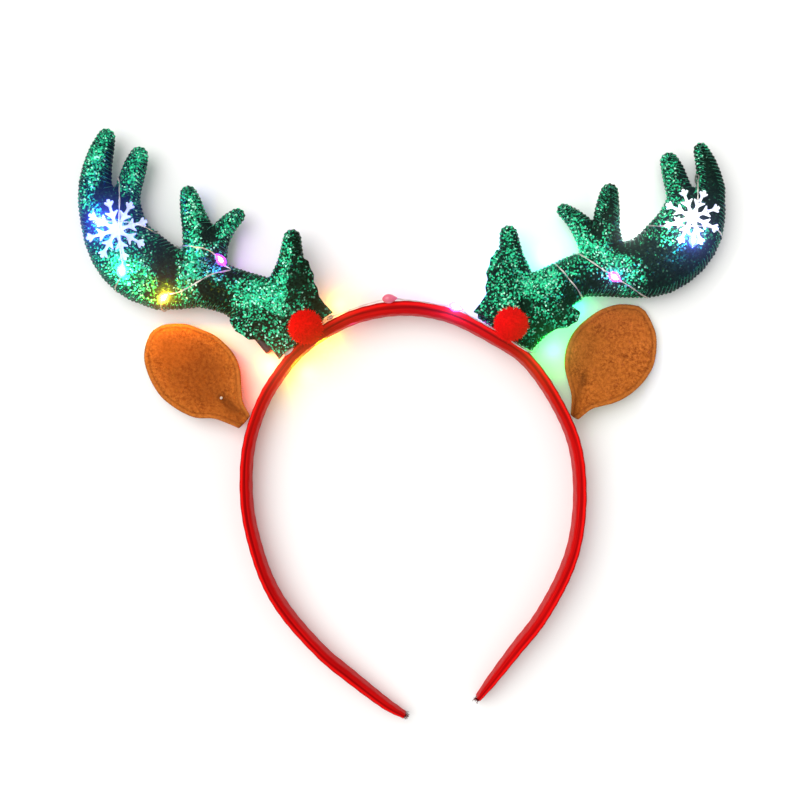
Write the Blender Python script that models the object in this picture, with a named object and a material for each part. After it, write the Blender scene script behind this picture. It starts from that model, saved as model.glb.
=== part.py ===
"""Reindeer antler headband, lying on its back on a flat surface.

A satin-wrapped hoop carries two stuffed glitter antlers, two felt ears, four holly leaves,
two pom-poms, two snowflake sequins and a string of drop lights fed from a small cell case.
Tables and sizes are in millimetres. The origin is on the hoop's lower edge at the middle of
its crown: +X runs to the right antler, +Y from the crown towards the antler tips, +Z up.
"""
import math
from collections import namedtuple

import bmesh
import bpy
import numpy as np
from mathutils import Matrix, Vector
from mathutils.bvhtree import BVHTree

MM = 0.001
GAP = 0.35

HOOP_DEPTH = 12.6
Hoop = namedtuple("Hoop", "x y thick depth")
HOOP_ROWS = [
    Hoop(-2.0, -147.5, 1.7, 7.0),
    Hoop(-9.2, -143.0, 3.0, 8.2),
    Hoop(-22.2, -132.7, 3.6, 10.0),
    Hoop(-32.0, -124.4, 3.5, 11.0),
    Hoop(-44.0, -110.9, 3.6, 11.8),
    Hoop(-51.5, -98.3, 3.6, HOOP_DEPTH),
    Hoop(-56.6, -83.1, 3.6, HOOP_DEPTH),
    Hoop(-59.0, -69.2, 3.6, HOOP_DEPTH),
    Hoop(-58.7, -53.0, 3.6, HOOP_DEPTH),
    Hoop(-55.5, -39.8, 3.7, HOOP_DEPTH),
    Hoop(-49.6, -27.5, 3.9, HOOP_DEPTH),
    Hoop(-39.0, -14.4, 4.2, HOOP_DEPTH),
    Hoop(-24.5, -5.0, 4.5, HOOP_DEPTH),
    Hoop(-11.6, -0.9, 4.7, HOOP_DEPTH),
    Hoop(0.0, 0.0, 4.8, HOOP_DEPTH),
    Hoop(9.9, -1.4, 4.7, HOOP_DEPTH),
    Hoop(18.4, -4.2, 4.6, HOOP_DEPTH),
    Hoop(29.9, -10.3, 4.4, HOOP_DEPTH),
    Hoop(41.9, -18.4, 4.1, HOOP_DEPTH),
    Hoop(51.9, -32.2, 3.7, HOOP_DEPTH),
    Hoop(59.2, -48.3, 3.6, HOOP_DEPTH),
    Hoop(61.4, -65.3, 3.6, HOOP_DEPTH),
    Hoop(60.0, -82.7, 3.6, HOOP_DEPTH),
    Hoop(55.4, -96.9, 3.6, HOOP_DEPTH),
    Hoop(47.0, -112.2, 3.5, 11.8),
    Hoop(38.6, -123.0, 3.3, 11.0),
    Hoop(29.6, -134.9, 2.7, 9.0),
    Hoop(24.8, -141.3, 1.6, 7.0),
]
HOOP_STEP = 8.0
Corner = namedtuple("Corner", "across height")
HOOP_SECTION = [
    Corner(-0.50, 0.00), Corner(0.50, 0.00), Corner(0.90, 0.06), Corner(1.00, 0.20),
    Corner(1.00, 0.80), Corner(0.85, 0.94), Corner(0.45, 1.00), Corner(-0.45, 1.00),
    Corner(-0.85, 0.94), Corner(-1.00, 0.80), Corner(-1.00, 0.20), Corner(-0.90, 0.06),
]

BEAM_Z = 7.2
ROOT_Z = 9.3
ROOT_HALF = 4.2
Section = namedtuple("Section", "x y z half_width half_depth")
LEFT_BEAM = [
    Section(-108.7, 38.9, BEAM_Z, 10.9, 5.2),
    Section(-106.2, 27.0, BEAM_Z, 11.5, 5.8),
    Section(-101.5, 19.4, BEAM_Z, 12.6, 6.0),
    Section(-95.0, 14.2, BEAM_Z, 12.7, 6.0),
    Section(-88.0, 10.7, BEAM_Z, 11.7, 6.0),
    Section(-74.5, 9.2, BEAM_Z, 8.8, 5.7),
    Section(-62.6, 5.4, 7.8, 8.4, 5.2),
    Section(-57.6, 2.6, 8.4, 9.8, 4.8),
    Section(-50.0, -0.8, ROOT_Z, 10.5, ROOT_HALF),
    Section(-40.2, -6.9, ROOT_Z, 10.1, ROOT_HALF),
    Section(-38.0, -9.6, ROOT_Z, 9.2, ROOT_HALF),
]
LEFT_TINES = [
    [
        Section(-109.5, 61.5, BEAM_Z, 3.0, 2.8),
        Section(-111.1, 56.9, BEAM_Z, 4.1, 3.3),
        Section(-112.8, 50.4, BEAM_Z, 5.0, 3.7),
        Section(-113.5, 45.4, BEAM_Z, 5.6, 4.0),
        Section(-112.7, 38.9, BEAM_Z, 6.8, 4.6),
    ],
    [
        Section(-97.7, 54.9, BEAM_Z, 3.1, 2.9),
        Section(-98.9, 51.5, BEAM_Z, 3.9, 3.2),
        Section(-100.4, 46.8, BEAM_Z, 4.2, 3.5),
        Section(-101.7, 42.5, BEAM_Z, 4.4, 3.8),
        Section(-102.6, 36.0, BEAM_Z, 4.9, 4.4),
    ],
    [
        Section(-79.8, 41.0, BEAM_Z, 2.9, 2.8),
        Section(-79.2, 38.5, BEAM_Z, 3.6, 3.1),
        Section(-78.4, 34.6, BEAM_Z, 4.2, 3.5),
        Section(-77.2, 30.2, BEAM_Z, 4.9, 3.9),
        Section(-75.2, 24.5, BEAM_Z, 6.7, 4.5),
        Section(-74.5, 18.0, BEAM_Z, 8.3, 5.0),
    ],
    [
        Section(-62.2, 33.3, BEAM_Z, 2.5, 2.5),
        Section(-64.6, 31.3, BEAM_Z, 3.0, 2.9),
        Section(-66.8, 28.8, BEAM_Z, 3.5, 3.3),
        Section(-69.8, 24.1, BEAM_Z, 4.3, 3.9),
        Section(-72.0, 18.0, BEAM_Z, 6.1, 4.6),
    ],
    [
        Section(-42.3, 24.9, ROOT_Z, 3.0, 2.8),
        Section(-42.5, 22.0, ROOT_Z, 3.5, 3.1),
        Section(-42.6, 18.7, ROOT_Z, 4.1, 3.4),
        Section(-42.8, 15.1, ROOT_Z, 5.0, 3.7),
        Section(-43.6, 10.1, ROOT_Z, 6.7, 3.9),
        Section(-42.8, 3.5, ROOT_Z, 6.2, 4.1),
    ],
]
RIGHT_BEAM = [
    Section(103.5, 38.9, BEAM_Z, 10.3, 5.2),
    Section(101.2, 29.9, BEAM_Z, 12.0, 5.8),
    Section(96.4, 22.5, BEAM_Z, 12.7, 6.0),
    Section(88.8, 16.6, BEAM_Z, 12.1, 6.0),
    Section(80.5, 14.2, BEAM_Z, 10.4, 5.9),
    Section(68.4, 12.8, BEAM_Z, 8.4, 5.6),
    Section(59.4, 11.2, 7.7, 7.6, 5.2),
    Section(52.4, 6.9, 8.5, 8.6, 4.8),
    Section(44.8, 1.2, ROOT_Z, 10.8, ROOT_HALF),
    Section(35.7, -6.2, ROOT_Z, 12.0, ROOT_HALF),
    Section(33.9, -9.1, ROOT_Z, 11.8, ROOT_HALF),
]
RIGHT_TINES = [
    [
        Section(104.9, 57.0, BEAM_Z, 2.4, 2.5),
        Section(106.6, 52.6, BEAM_Z, 3.4, 3.0),
        Section(107.7, 47.9, BEAM_Z, 4.2, 3.4),
        Section(108.5, 43.2, BEAM_Z, 4.9, 3.9),
        Section(106.6, 36.4, BEAM_Z, 6.8, 4.6),
    ],
    [
        Section(93.5, 52.8, BEAM_Z, 3.1, 2.9),
        Section(94.7, 49.7, BEAM_Z, 3.8, 3.2),
        Section(96.0, 45.4, BEAM_Z, 4.2, 3.5),
        Section(97.7, 40.0, BEAM_Z, 4.7, 4.0),
        Section(99.7, 34.6, BEAM_Z, 6.1, 4.5),
    ],
    [
        Section(71.9, 41.7, BEAM_Z, 3.0, 2.8),
        Section(71.5, 38.9, BEAM_Z, 3.6, 3.1),
        Section(71.1, 34.6, BEAM_Z, 4.3, 3.5),
        Section(70.7, 29.5, BEAM_Z, 4.8, 3.9),
        Section(70.6, 22.7, BEAM_Z, 6.5, 4.6),
    ],
    [
        Section(55.5, 35.2, BEAM_Z, 2.3, 2.4),
        Section(58.5, 33.0, BEAM_Z, 3.0, 2.8),
        Section(61.4, 30.1, BEAM_Z, 3.8, 3.3),
        Section(64.8, 25.2, BEAM_Z, 4.8, 3.9),
        Section(68.4, 18.7, BEAM_Z, 6.8, 4.7),
    ],
    [
        Section(35.4, 26.3, ROOT_Z, 3.0, 2.8),
        Section(35.8, 22.7, ROOT_Z, 3.5, 3.1),
        Section(36.2, 18.4, ROOT_Z, 4.3, 3.4),
        Section(37.1, 13.7, ROOT_Z, 5.8, 3.7),
        Section(38.0, 7.2, ROOT_Z, 6.6, 4.1),
    ],
]
ANTLER_SIDES = 12
BEAM_STEP = 5.5
TINE_STEP = 4.2
CAP_ANGLES = (30, 55, 78)
BEAM_START_CAP = 4.0

LEAF_THICK = 1.2
LEAF_Z = 14.0
LEAF_FOLD = 0.7
Lobe = namedtuple("Lobe", "along left right")
Leaf = namedtuple("Leaf", "name x y heading rows")
LEAVES = [
    Leaf("leaf_left_upper", -35.9, -8.2, 97.7, [
        Lobe(0.0, 3.0, 3.0), Lobe(3.0, 5.0, 4.8), Lobe(5.0, 6.2, 9.3), Lobe(8.4, 5.2, 6.7),
        Lobe(11.3, 7.0, 5.1), Lobe(14.2, 5.4, 5.0), Lobe(16.8, 6.2, 3.9), Lobe(19.2, 4.6, 4.4),
        Lobe(21.7, 4.8, 3.4), Lobe(24.2, 3.2, 3.1), Lobe(25.6, 2.6, 1.4), Lobe(26.9, 0.3, 0.3),
    ]),
    Leaf("leaf_left_lower", -39.2, -11.7, 164.4, [
        Lobe(0.8, 2.2, 0.6), Lobe(3.7, 5.5, 2.6), Lobe(5.1, 8.8, 3.6), Lobe(6.9, 7.3, 5.4),
        Lobe(9.7, 5.3, 6.2), Lobe(13.1, 4.0, 6.6), Lobe(15.9, 4.4, 7.8), Lobe(17.5, 4.9, 6.0),
        Lobe(20.1, 3.9, 5.0), Lobe(22.8, 3.3, 5.0), Lobe(24.6, 1.6, 2.4), Lobe(25.8, 0.3, 0.3),
    ]),
    Leaf("leaf_right_upper", 35.9, -8.2, 100.1, [
        Lobe(1.0, 2.2, 2.2), Lobe(4.9, 6.8, 4.0), Lobe(8.6, 12.2, 4.8), Lobe(11.1, 9.3, 5.6),
        Lobe(14.2, 6.4, 4.4), Lobe(16.5, 6.5, 6.0), Lobe(19.2, 5.1, 4.2), Lobe(21.5, 5.3, 5.2),
        Lobe(24.0, 3.6, 3.2), Lobe(26.4, 2.9, 3.4), Lobe(27.3, 1.5, 1.8), Lobe(28.9, 0.3, 0.3),
    ]),
    Leaf("leaf_right_lower", 38.0, -9.5, 18.5, [
        Lobe(1.0, 0.6, 2.4), Lobe(3.4, 2.8, 3.0), Lobe(5.9, 4.6, 4.2), Lobe(8.6, 7.2, 3.9),
        Lobe(9.8, 8.6, 3.8), Lobe(13.9, 6.4, 2.9), Lobe(17.6, 6.2, 3.7), Lobe(19.5, 4.6, 3.0),
        Lobe(21.6, 3.0, 2.8), Lobe(23.5, 0.3, 0.3),
    ]),
]

EAR_THICK = 2.6
EAR_RIM = 1.5
EAR_Z = 6.3
EAR_CUP = 3.2
EAR_DROOP = 4.8
Span = namedtuple("Span", "along left right")
Ear = namedtuple("Ear", "name x y heading rows")
EARS = [
    Ear("ear_left", -59.6, -40.6, 138.8, [
        Span(-0.35, 3.2, 2.8), Span(5.0, 5.0, 4.9), Span(9.0, 6.8, 8.6), Span(13.7, 10.6, 13.0),
        Span(18.7, 12.5, 15.4), Span(23.8, 13.4, 16.1), Span(28.8, 13.5, 15.9),
        Span(34.2, 12.2, 14.2), Span(38.9, 10.1, 12.4), Span(42.8, 7.4, 9.4),
        Span(45.7, 3.4, 6.2), Span(47.2, -0.6, 2.6),
    ]),
    Ear("ear_right", 60.2, -38.2, 53.7, [
        Span(-1.5, 2.0, 1.2), Span(4.0, 5.6, 2.8), Span(7.2, 9.3, 5.1), Span(10.8, 13.4, 8.1),
        Span(15.1, 16.3, 10.5), Span(20.2, 18.0, 12.1), Span(25.2, 18.2, 12.7),
        Span(30.6, 17.1, 12.2), Span(36.0, 15.0, 9.9), Span(40.7, 11.7, 6.4),
        Span(43.6, 8.0, 2.2), Span(45.4, 4.6, -1.6),
    ]),
]
EAR_CROSSES = 7

POMPOM_RADIUS = 5.0
POMPOM_TUFT = 0.55
POMPOM_LOCKS = 3
POMPOM_Z = LEAF_Z + LEAF_THICK + LEAF_FOLD + GAP + POMPOM_RADIUS + POMPOM_TUFT
Spot = namedtuple("Spot", "name x y")
POMPOMS = [Spot("pompom_left", -36.6, -7.7), Spot("pompom_right", 35.2, -6.7)]

FLAKE_THICK = 0.5
FLAKE_Z = 13.55
FLAKE_ARMS = 8
Branch = namedtuple("Branch", "along across")
FLAKE_ARM = [
    Branch(0.20, 0.075), Branch(0.36, 0.065), Branch(0.52, 0.205), Branch(0.60, 0.165),
    Branch(0.55, 0.060), Branch(0.78, 0.060), Branch(0.88, 0.170), Branch(0.95, 0.115),
    Branch(0.92, 0.055), Branch(1.00, 0.045),
]
Flake = namedtuple("Flake", "name x y radius turn")
FLAKES = [
    Flake("snowflake_left", -104.4, 27.4, 11.3, 16.0),
    Flake("snowflake_right", 100.3, 32.0, 10.4, 19.0),
]

DROP_LENGTH = 5.4
DROP_WIDTH = 3.4
DROP_HEIGHT = 3.2
DROP_CLEAR = DROP_WIDTH / 2 + 0.6
Drop = namedtuple("Drop", "name colour")
LIT_BLUE = (0.35, 0.45, 1.0)
LIT_TEAL = (0.60, 1.0, 0.92)
LIT_YELLOW = (1.0, 0.85, 0.25)
LIT_PINK = (1.0, 0.65, 0.95)
LIT_GREEN = (0.35, 1.0, 0.6)
LIT_WHITE = (0.92, 0.92, 1.0)

WIRE_RADIUS = 0.25
WIRE_CLEAR = WIRE_RADIUS + 0.42
WIRE_FINE = 0.5
WIRE_TRIM = 0.2
WIRE_LONGEST = 12.0
WIRE_OFF_FLOOR = 0.05
WIRE_TO_DROP = GAP + 0.15
WIRE_PASS = 2 * WIRE_RADIUS + GAP
HEADING_SPAN = 3
ON_HOOP = HOOP_DEPTH + WIRE_CLEAR
OVER_FLAKE = FLAKE_Z + FLAKE_THICK + WIRE_CLEAR
DROP_OVER_FLAKE = FLAKE_Z + FLAKE_THICK + DROP_WIDTH / 2 + GAP
Stop = namedtuple("Stop", "x y lie drop")
LEFT_STRING = [
    Stop(-53.4, -4.4, "back", None),
    Stop(-66.0, 4.0, "back", None),
    Stop(-80.0, 6.5, "back", None),
    Stop(-89.4, -1.6, "edge", None),
    Stop(-87.6, 3.4, "front", Drop("light_left_yellow", LIT_YELLOW)),
    Stop(-81.5, 6.4, "front", None),
    Stop(-71.0, 12.6, "front", None),
    Stop(-66.6, 13.4, "front", None),
    Stop(-63.6, 13.9, "front", None),
    Stop(-67.6, 17.0, "front", Drop("light_left_purple", LIT_PINK)),
    Stop(-72.4, 20.6, "front", None),
    Stop(-84.0, 22.0, "edge", None),
    Stop(-92.0, 15.0, "back", None),
    Stop(-101.0, 9.0, "back", None),
    Stop(-106.4, 5.6, "edge", None),
    Stop(-104.4, 9.2, "front", None),
    Stop(-102.4, 13.0, "front", Drop("light_left_teal", LIT_TEAL)),
    Stop(-103.0, 21.0, OVER_FLAKE, None),
    Stop(-103.4, 29.0, OVER_FLAKE, None),
    Stop(-103.6, 38.0, OVER_FLAKE, None),
    Stop(-106.3, 49.6, "edge", None),
    Stop(-104.0, 37.5, "back", None),
    Stop(-98.0, 30.0, "back", None),
    Stop(-89.8, 27.4, "edge", None),
    Stop(-93.4, 28.0, OVER_FLAKE, None),
    Stop(-98.4, 29.8, OVER_FLAKE, None),
    Stop(-103.6, 30.2, OVER_FLAKE + WIRE_PASS, None),
    Stop(-109.8, 30.0, DROP_OVER_FLAKE, Drop("light_left_blue", LIT_BLUE)),
]
RIGHT_STRING = [
    Stop(-27.6, -3.2, ON_HOOP, None),
    Stop(-18.0, 0.2, ON_HOOP, None),
    Stop(-12.0, 2.0, ON_HOOP, None),
    Stop(-7.2, 2.9, 14.2, Drop("light_crown_clear", LIT_WHITE)),
    Stop(-1.6, 2.6, ON_HOOP, None),
    Stop(6.0, 1.6, ON_HOOP, None),
    Stop(11.4, 0.6, ON_HOOP, None),
    Stop(16.4, -0.1, 14.0, Drop("light_crown_purple", LIT_PINK)),
    Stop(21.0, -3.0, ON_HOOP, None),
    Stop(26.0, -5.8, ON_HOOP, None),
    Stop(32.0, -9.2, ON_HOOP, None),
    Stop(39.0, -14.2, ON_HOOP, None),
    Stop(43.0, -16.2, ON_HOOP, None),
    Stop(45.8, -15.8, 9.0, None),
    Stop(46.6, -12.8, 4.4, None),
    Stop(47.6, -9.4, 3.2, None),
    Stop(50.4, -4.0, 3.0, Drop("light_right_green", LIT_GREEN)),
    Stop(56.0, -1.0, 2.6, None),
    Stop(61.6, 2.6, "edge", None),
    Stop(57.5, 9.0, "front", None),
    Stop(51.2, 16.7, "edge", None),
    Stop(56.0, 12.0, "back", None),
    Stop(60.6, 14.5, "back", None),
    Stop(58.4, 20.8, "edge", None),
    Stop(66.0, 15.4, "front", None),
    Stop(72.8, 10.4, "front", Drop("light_right_pink", LIT_PINK)),
    Stop(79.0, 7.0, "front", None),
    Stop(85.5, 3.4, "edge", None),
    Stop(84.0, 12.0, "back", None),
    Stop(85.0, 22.0, "back", None),
    Stop(86.0, 28.8, "edge", None),
    Stop(89.0, 28.4, OVER_FLAKE, None),
    Stop(93.4, 29.2, OVER_FLAKE, None),
    Stop(99.8, 28.6, OVER_FLAKE, None),
    Stop(105.0, 28.6, OVER_FLAKE, None),
    Stop(110.4, 26.6, OVER_FLAKE, None),
    Stop(113.0, 24.6, "edge", None),
    Stop(108.0, 35.0, "back", None),
    Stop(102.6, 49.0, "edge", None),
    Stop(102.2, 42.6, OVER_FLAKE, None),
    Stop(102.0, 34.6, OVER_FLAKE + WIRE_PASS / 2, None),
    Stop(101.4, 28.8, OVER_FLAKE + WIRE_PASS, None),
    Stop(100.3, 23.2, DROP_OVER_FLAKE, Drop("light_right_blue", LIT_BLUE)),
]

CASE_SIZE = (15.0, 11.0, 4.0)
CASE_AT = (-49.6, -7.6, 2.6)
CASE_TURN = -141.0
CASE_EDGE = 0.8

Bead = namedtuple("Bead", "name x y z long wide high turn")
GLUE = [
    Bead("glue_left_lower", -43.2, -15.8, 13.2, 4.4, 1.6, 1.0, 41.0),
    Bead("glue_left_upper", -28.6, -3.6, 10.8, 3.0, 1.5, 2.2, 33.0),
]

SATIN_RED = (0.62, 0.012, 0.016)
GLITTER_GREEN = (0.010, 0.110, 0.062)
FELT_TAN = (0.43, 0.155, 0.035)
POMPOM_RED = (0.72, 0.008, 0.010)
PEARL = (0.86, 0.86, 0.92)
SILVER = (0.66, 0.64, 0.62)
CASE_BLACK = (0.012, 0.012, 0.013)
GLUE_CLEAR = (0.80, 0.76, 0.68)


def clear_scene():
    for old in list(bpy.data.objects):
        bpy.data.objects.remove(old)


def finish_of(name, colour, roughness, metallic=0.0):
    """A plain Principled material in the piece's own colour."""
    made = bpy.data.materials.new(name)
    made.use_nodes = True
    shader = made.node_tree.nodes["Principled BSDF"]
    shader.inputs["Base Color"].default_value = (*colour, 1.0)
    shader.inputs["Roughness"].default_value = roughness
    shader.inputs["Metallic"].default_value = metallic
    return made


def add_solid(name, shape, finish):
    """Turn a bmesh in millimetres into one shaded object in metres."""
    bmesh.ops.recalc_face_normals(shape, faces=shape.faces)
    bmesh.ops.scale(shape, vec=(MM, MM, MM), verts=shape.verts)
    mesh = bpy.data.meshes.new(name)
    shape.to_mesh(mesh)
    shape.free()
    mesh.materials.append(finish)
    mesh.shade_smooth()
    mesh.set_sharp_from_angle(angle=math.radians(40))
    solid = bpy.data.objects.new(name, mesh)
    bpy.context.scene.collection.objects.link(solid)
    return solid


def smooth_rows(rows, step):
    """Catmull-Rom through every column of a table, resampled about every step mm."""
    table = np.array([tuple(row) for row in rows], dtype=float)
    padded = np.vstack([2 * table[0] - table[1], table, 2 * table[-1] - table[-2]])
    gaps = np.linalg.norm(np.diff(table[:, :2], axis=0), axis=1)
    made = []
    for index, gap in enumerate(gaps):
        before, here, after, beyond = padded[index:index + 4]
        pieces = max(1, round(gap / step))
        for t in np.arange(pieces) / pieces:
            made.append(0.5 * (
                2 * here + (after - before) * t
                + (2 * before - 5 * here + 4 * after - beyond) * t ** 2
                + (3 * here - before - 3 * after + beyond) * t ** 3))
    made.append(table[-1])
    return np.array(made)


def headings(points):
    """Unit direction of travel at each point, in the plane."""
    ahead = np.gradient(points[:, :2], axis=0)
    return ahead / np.linalg.norm(ahead, axis=1)[:, None]


def loft(rings):
    """Join equal rings of corners into one closed body with flat ends."""
    shape = bmesh.new()
    made = [[shape.verts.new(corner) for corner in ring] for ring in rings]
    count = len(made[0])
    for low, high in zip(made, made[1:]):
        for i in range(count):
            j = (i + 1) % count
            shape.faces.new((low[i], low[j], high[j], high[i]))
    shape.faces.new(made[0])
    shape.faces.new(made[-1])
    return shape


def hoop():
    rows = smooth_rows(HOOP_ROWS, HOOP_STEP)
    rings = []
    for row, ahead in zip(rows, headings(rows)):
        out = np.array((-ahead[1], ahead[0]))
        half = row[2] / 2
        rings.append([
            (*(row[:2] + out * half * corner.across), row[3] * corner.height)
            for corner in HOOP_SECTION])
    return add_solid("band", loft(rings), finish_of("satin", SATIN_RED, 0.35))


def stroke(rows, step, start_cap):
    """A padded limb: oval sections along a path, with a round start and a flat end."""
    path = smooth_rows(rows, step)
    ahead = headings(path)
    sections = []
    for degrees in reversed(CAP_ANGLES):
        back = math.sin(math.radians(degrees)) * start_cap
        shrink = math.cos(math.radians(degrees))
        cap = path[0].copy()
        cap[:2] -= ahead[0] * back
        cap[3:] *= shrink
        sections.append((cap, ahead[0]))
    sections += list(zip(path, ahead))
    rings = []
    for row, forward in sections:
        side = np.array((-forward[1], forward[0]))
        ring = []
        for turn in np.arange(ANTLER_SIDES) * 2 * math.pi / ANTLER_SIDES:
            flat = row[:2] + side * row[3] * math.cos(turn)
            ring.append((*flat, row[2] + row[4] * math.sin(turn)))
        rings.append(ring)
    return loft(rings)


def antler(name, beam, tines, finish):
    """The beam with its tines, fused into one stuffed body."""
    body = add_solid(name, stroke(beam, BEAM_STEP, BEAM_START_CAP), finish)
    limbs = []
    for number, rows in enumerate(tines):
        shape = stroke(rows, TINE_STEP, rows[0].half_width)
        limb = add_solid(f"{name}_tine_{number}", shape, finish)
        limb.hide_render = True
        limb.display_type = "WIRE"
        fuse = body.modifiers.new(limb.name, "BOOLEAN")
        fuse.operation = "UNION"
        fuse.solver = "EXACT"
        fuse.object = limb
        limbs.append(limb)
    fused = evaluated_mesh(body)
    body.modifiers.clear()
    body.data = fused
    for limb in limbs:
        bpy.data.objects.remove(limb)
    return body


def evaluated_mesh(thing):
    graph = bpy.context.evaluated_depsgraph_get()
    return bpy.data.meshes.new_from_object(thing.evaluated_get(graph))


def turned(x, y, heading):
    """Two unit vectors: along a heading in degrees, and to its left."""
    angle = math.radians(heading)
    along = np.array((math.cos(angle), math.sin(angle)))
    left = np.array((-along[1], along[0]))
    return np.array((x, y)), along, left


def holly_leaf(leaf, finish):
    """A flat leaf with toothed edges, folded a little along its midrib."""
    root, along, left = turned(leaf.x, leaf.y, leaf.heading)
    rings = []
    for row in leaf.rows:
        middle = root + along * row.along
        near = middle + left * row.left
        far = middle - left * row.right
        low = LEAF_Z
        high = LEAF_Z + LEAF_THICK
        rib = LEAF_FOLD
        rings.append([
            (*far, low), (*middle, low + rib), (*near, low),
            (*near, high), (*middle, high + rib), (*far, high)])
    return add_solid(leaf.name, loft(rings), finish)


def felt_ear(ear, finish):
    """Two felt layers sewn round the edge, cupped where the base is pinched."""
    root, along, left = turned(ear.x, ear.y, ear.heading)
    length = ear.rows[-1].along
    rings = []
    for row in ear.rows:
        far = row.along / length
        tops = []
        bottoms = []
        for across in np.linspace(-1, 1, EAR_CROSSES):
            middle = (row.left - row.right) / 2
            reach = middle + across * (row.left + row.right) / 2
            flat = root + along * row.along + left * reach
            cup = EAR_CUP * across ** 2 * (1 - far) ** 2
            height = EAR_Z + cup - EAR_DROOP * far ** 2
            thick = EAR_RIM + (EAR_THICK - EAR_RIM) * (1 - across ** 4)
            tops.append((*flat, height + thick / 2))
            bottoms.append((*flat, height - thick / 2))
        rings.append(tops + bottoms[::-1])
    return add_solid(ear.name, loft(rings), finish)


def pompom(spot, finish):
    """A ball of yarn: evenly spread points of it stand out as locks."""
    shape = bmesh.new()
    bmesh.ops.create_icosphere(shape, subdivisions=3, radius=POMPOM_RADIUS)
    for index, vert in enumerate(shape.verts):
        if index % POMPOM_LOCKS == 0:
            vert.co *= 1 + POMPOM_TUFT / POMPOM_RADIUS
    bmesh.ops.translate(shape, vec=(spot.x, spot.y, POMPOM_Z), verts=shape.verts)
    return add_solid(spot.name, shape, finish)


def snowflake(flake, finish):
    """A thin eight-armed sequin, each arm branched and ending in three points."""
    outline = []
    for arm in range(FLAKE_ARMS):
        angle = math.radians(flake.turn) + arm * 2 * math.pi / FLAKE_ARMS
        along = np.array((math.cos(angle), math.sin(angle)))
        left = np.array((-along[1], along[0]))
        edge = [(row.along, -row.across) for row in FLAKE_ARM]
        edge += [(row.along, row.across) for row in reversed(FLAKE_ARM)]
        for far, side in edge:
            outline.append((flake.x, flake.y) + (along * far + left * side) * flake.radius)
    shape = bmesh.new()
    face = shape.faces.new([shape.verts.new((x, y, FLAKE_Z)) for x, y in outline])
    raised = bmesh.ops.extrude_face_region(shape, geom=[face])["geom"]
    lifted = [part for part in raised if isinstance(part, bmesh.types.BMVert)]
    bmesh.ops.translate(shape, vec=(0, 0, FLAKE_THICK), verts=lifted)
    return add_solid(flake.name, shape, finish)


def drop_light(name, centre, heading, colour):
    """A resin bead round the light, a little longer than wide."""
    shape = bmesh.new()
    bmesh.ops.create_uvsphere(shape, u_segments=10, v_segments=6, radius=0.5)
    bmesh.ops.scale(shape, vec=(DROP_HEIGHT, DROP_WIDTH, DROP_LENGTH), verts=shape.verts)
    turn = Vector((0, 0, 1)).rotation_difference(Vector(heading)).to_matrix()
    bmesh.ops.rotate(shape, matrix=turn, verts=shape.verts)
    bmesh.ops.translate(shape, vec=centre, verts=shape.verts)
    return add_solid(name, shape, finish_of(name, colour, 0.25))


def glue_bead(bead, finish):
    shape = bmesh.new()
    bmesh.ops.create_uvsphere(shape, u_segments=10, v_segments=6, radius=0.5)
    bmesh.ops.scale(shape, vec=(bead.long, bead.wide, bead.high), verts=shape.verts)
    bmesh.ops.rotate(shape, matrix=Matrix.Rotation(math.radians(bead.turn), 3, "Z"),
                     verts=shape.verts)
    bmesh.ops.translate(shape, vec=(bead.x, bead.y, bead.z), verts=shape.verts)
    return add_solid(bead.name, shape, finish)


def cell_case():
    """The flat black case that holds the button cells, under the left antler's root."""
    shape = bmesh.new()
    bmesh.ops.create_cube(shape, size=1.0)
    bmesh.ops.scale(shape, vec=CASE_SIZE, verts=shape.verts)
    bmesh.ops.bevel(
        shape, geom=shape.edges[:], offset=CASE_EDGE, segments=1, affect="EDGES")
    bmesh.ops.rotate(shape, matrix=Matrix.Rotation(math.radians(CASE_TURN), 3, "Z"),
                     verts=shape.verts)
    bmesh.ops.translate(shape, vec=CASE_AT, verts=shape.verts)
    return add_solid("cell_case", shape, finish_of("case", CASE_BLACK, 0.45))


def surface_of(things):
    """One search tree, in millimetres, over the outsides that a wire lies on."""
    shape = bmesh.new()
    for thing in things:
        shape.from_mesh(thing.data)
    bmesh.ops.scale(shape, vec=(1 / MM, 1 / MM, 1 / MM), verts=shape.verts)
    bmesh.ops.triangulate(shape, faces=shape.faces)
    tree = BVHTree.FromBMesh(shape)
    shape.free()
    return tree


def resting_place(surface, stop):
    """Where a stop lies: on the front or back of what it crosses, or at a given height."""
    if stop.lie == "edge":
        return Vector((stop.x, stop.y, BEAM_Z))
    if stop.lie not in ("front", "back"):
        return Vector((stop.x, stop.y, stop.lie))
    way = 1 if stop.lie == "front" else -1
    seat = surface.ray_cast(Vector((stop.x, stop.y, 60 * way)), Vector((0, 0, -way)))[0]
    lift = DROP_HEIGHT / 2 + GAP if stop.drop else WIRE_CLEAR
    return Vector((stop.x, stop.y, (seat.z if seat else BEAM_Z) + way * lift))


def pushed_clear(surface, points, clear):
    """Move each point out along the nearest surface until it is clear of it."""
    moved = []
    for point in points:
        spot = Vector(point)
        for _ in range(3):
            seat, normal, _, distance = surface.find_nearest(spot)
            outside = (spot - seat).dot(normal) > 0
            if outside and distance >= clear:
                break
            away = (spot - seat).normalized() if outside and distance > 1e-6 else normal
            spot = seat + away * clear
        spot.z = max(spot.z, WIRE_RADIUS + WIRE_OFF_FLOOR)
        moved.append(np.array(spot))
    return np.array(moved)


def thinned(points):
    """Drop the points of a route that its straight runs don't need."""
    kept = [0]
    start = 0
    while start < len(points) - 1:
        reach = start + 1
        for end in range(start + 2, len(points)):
            chord = points[end] - points[start]
            length = np.linalg.norm(chord)
            middle = points[start + 1:end]
            off = np.linalg.norm(np.cross(middle - points[start], chord / length), axis=1)
            if off.max() > WIRE_TRIM or length > WIRE_LONGEST:
                break
            reach = end
        kept.append(reach)
        start = reach
    return points[kept]


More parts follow.
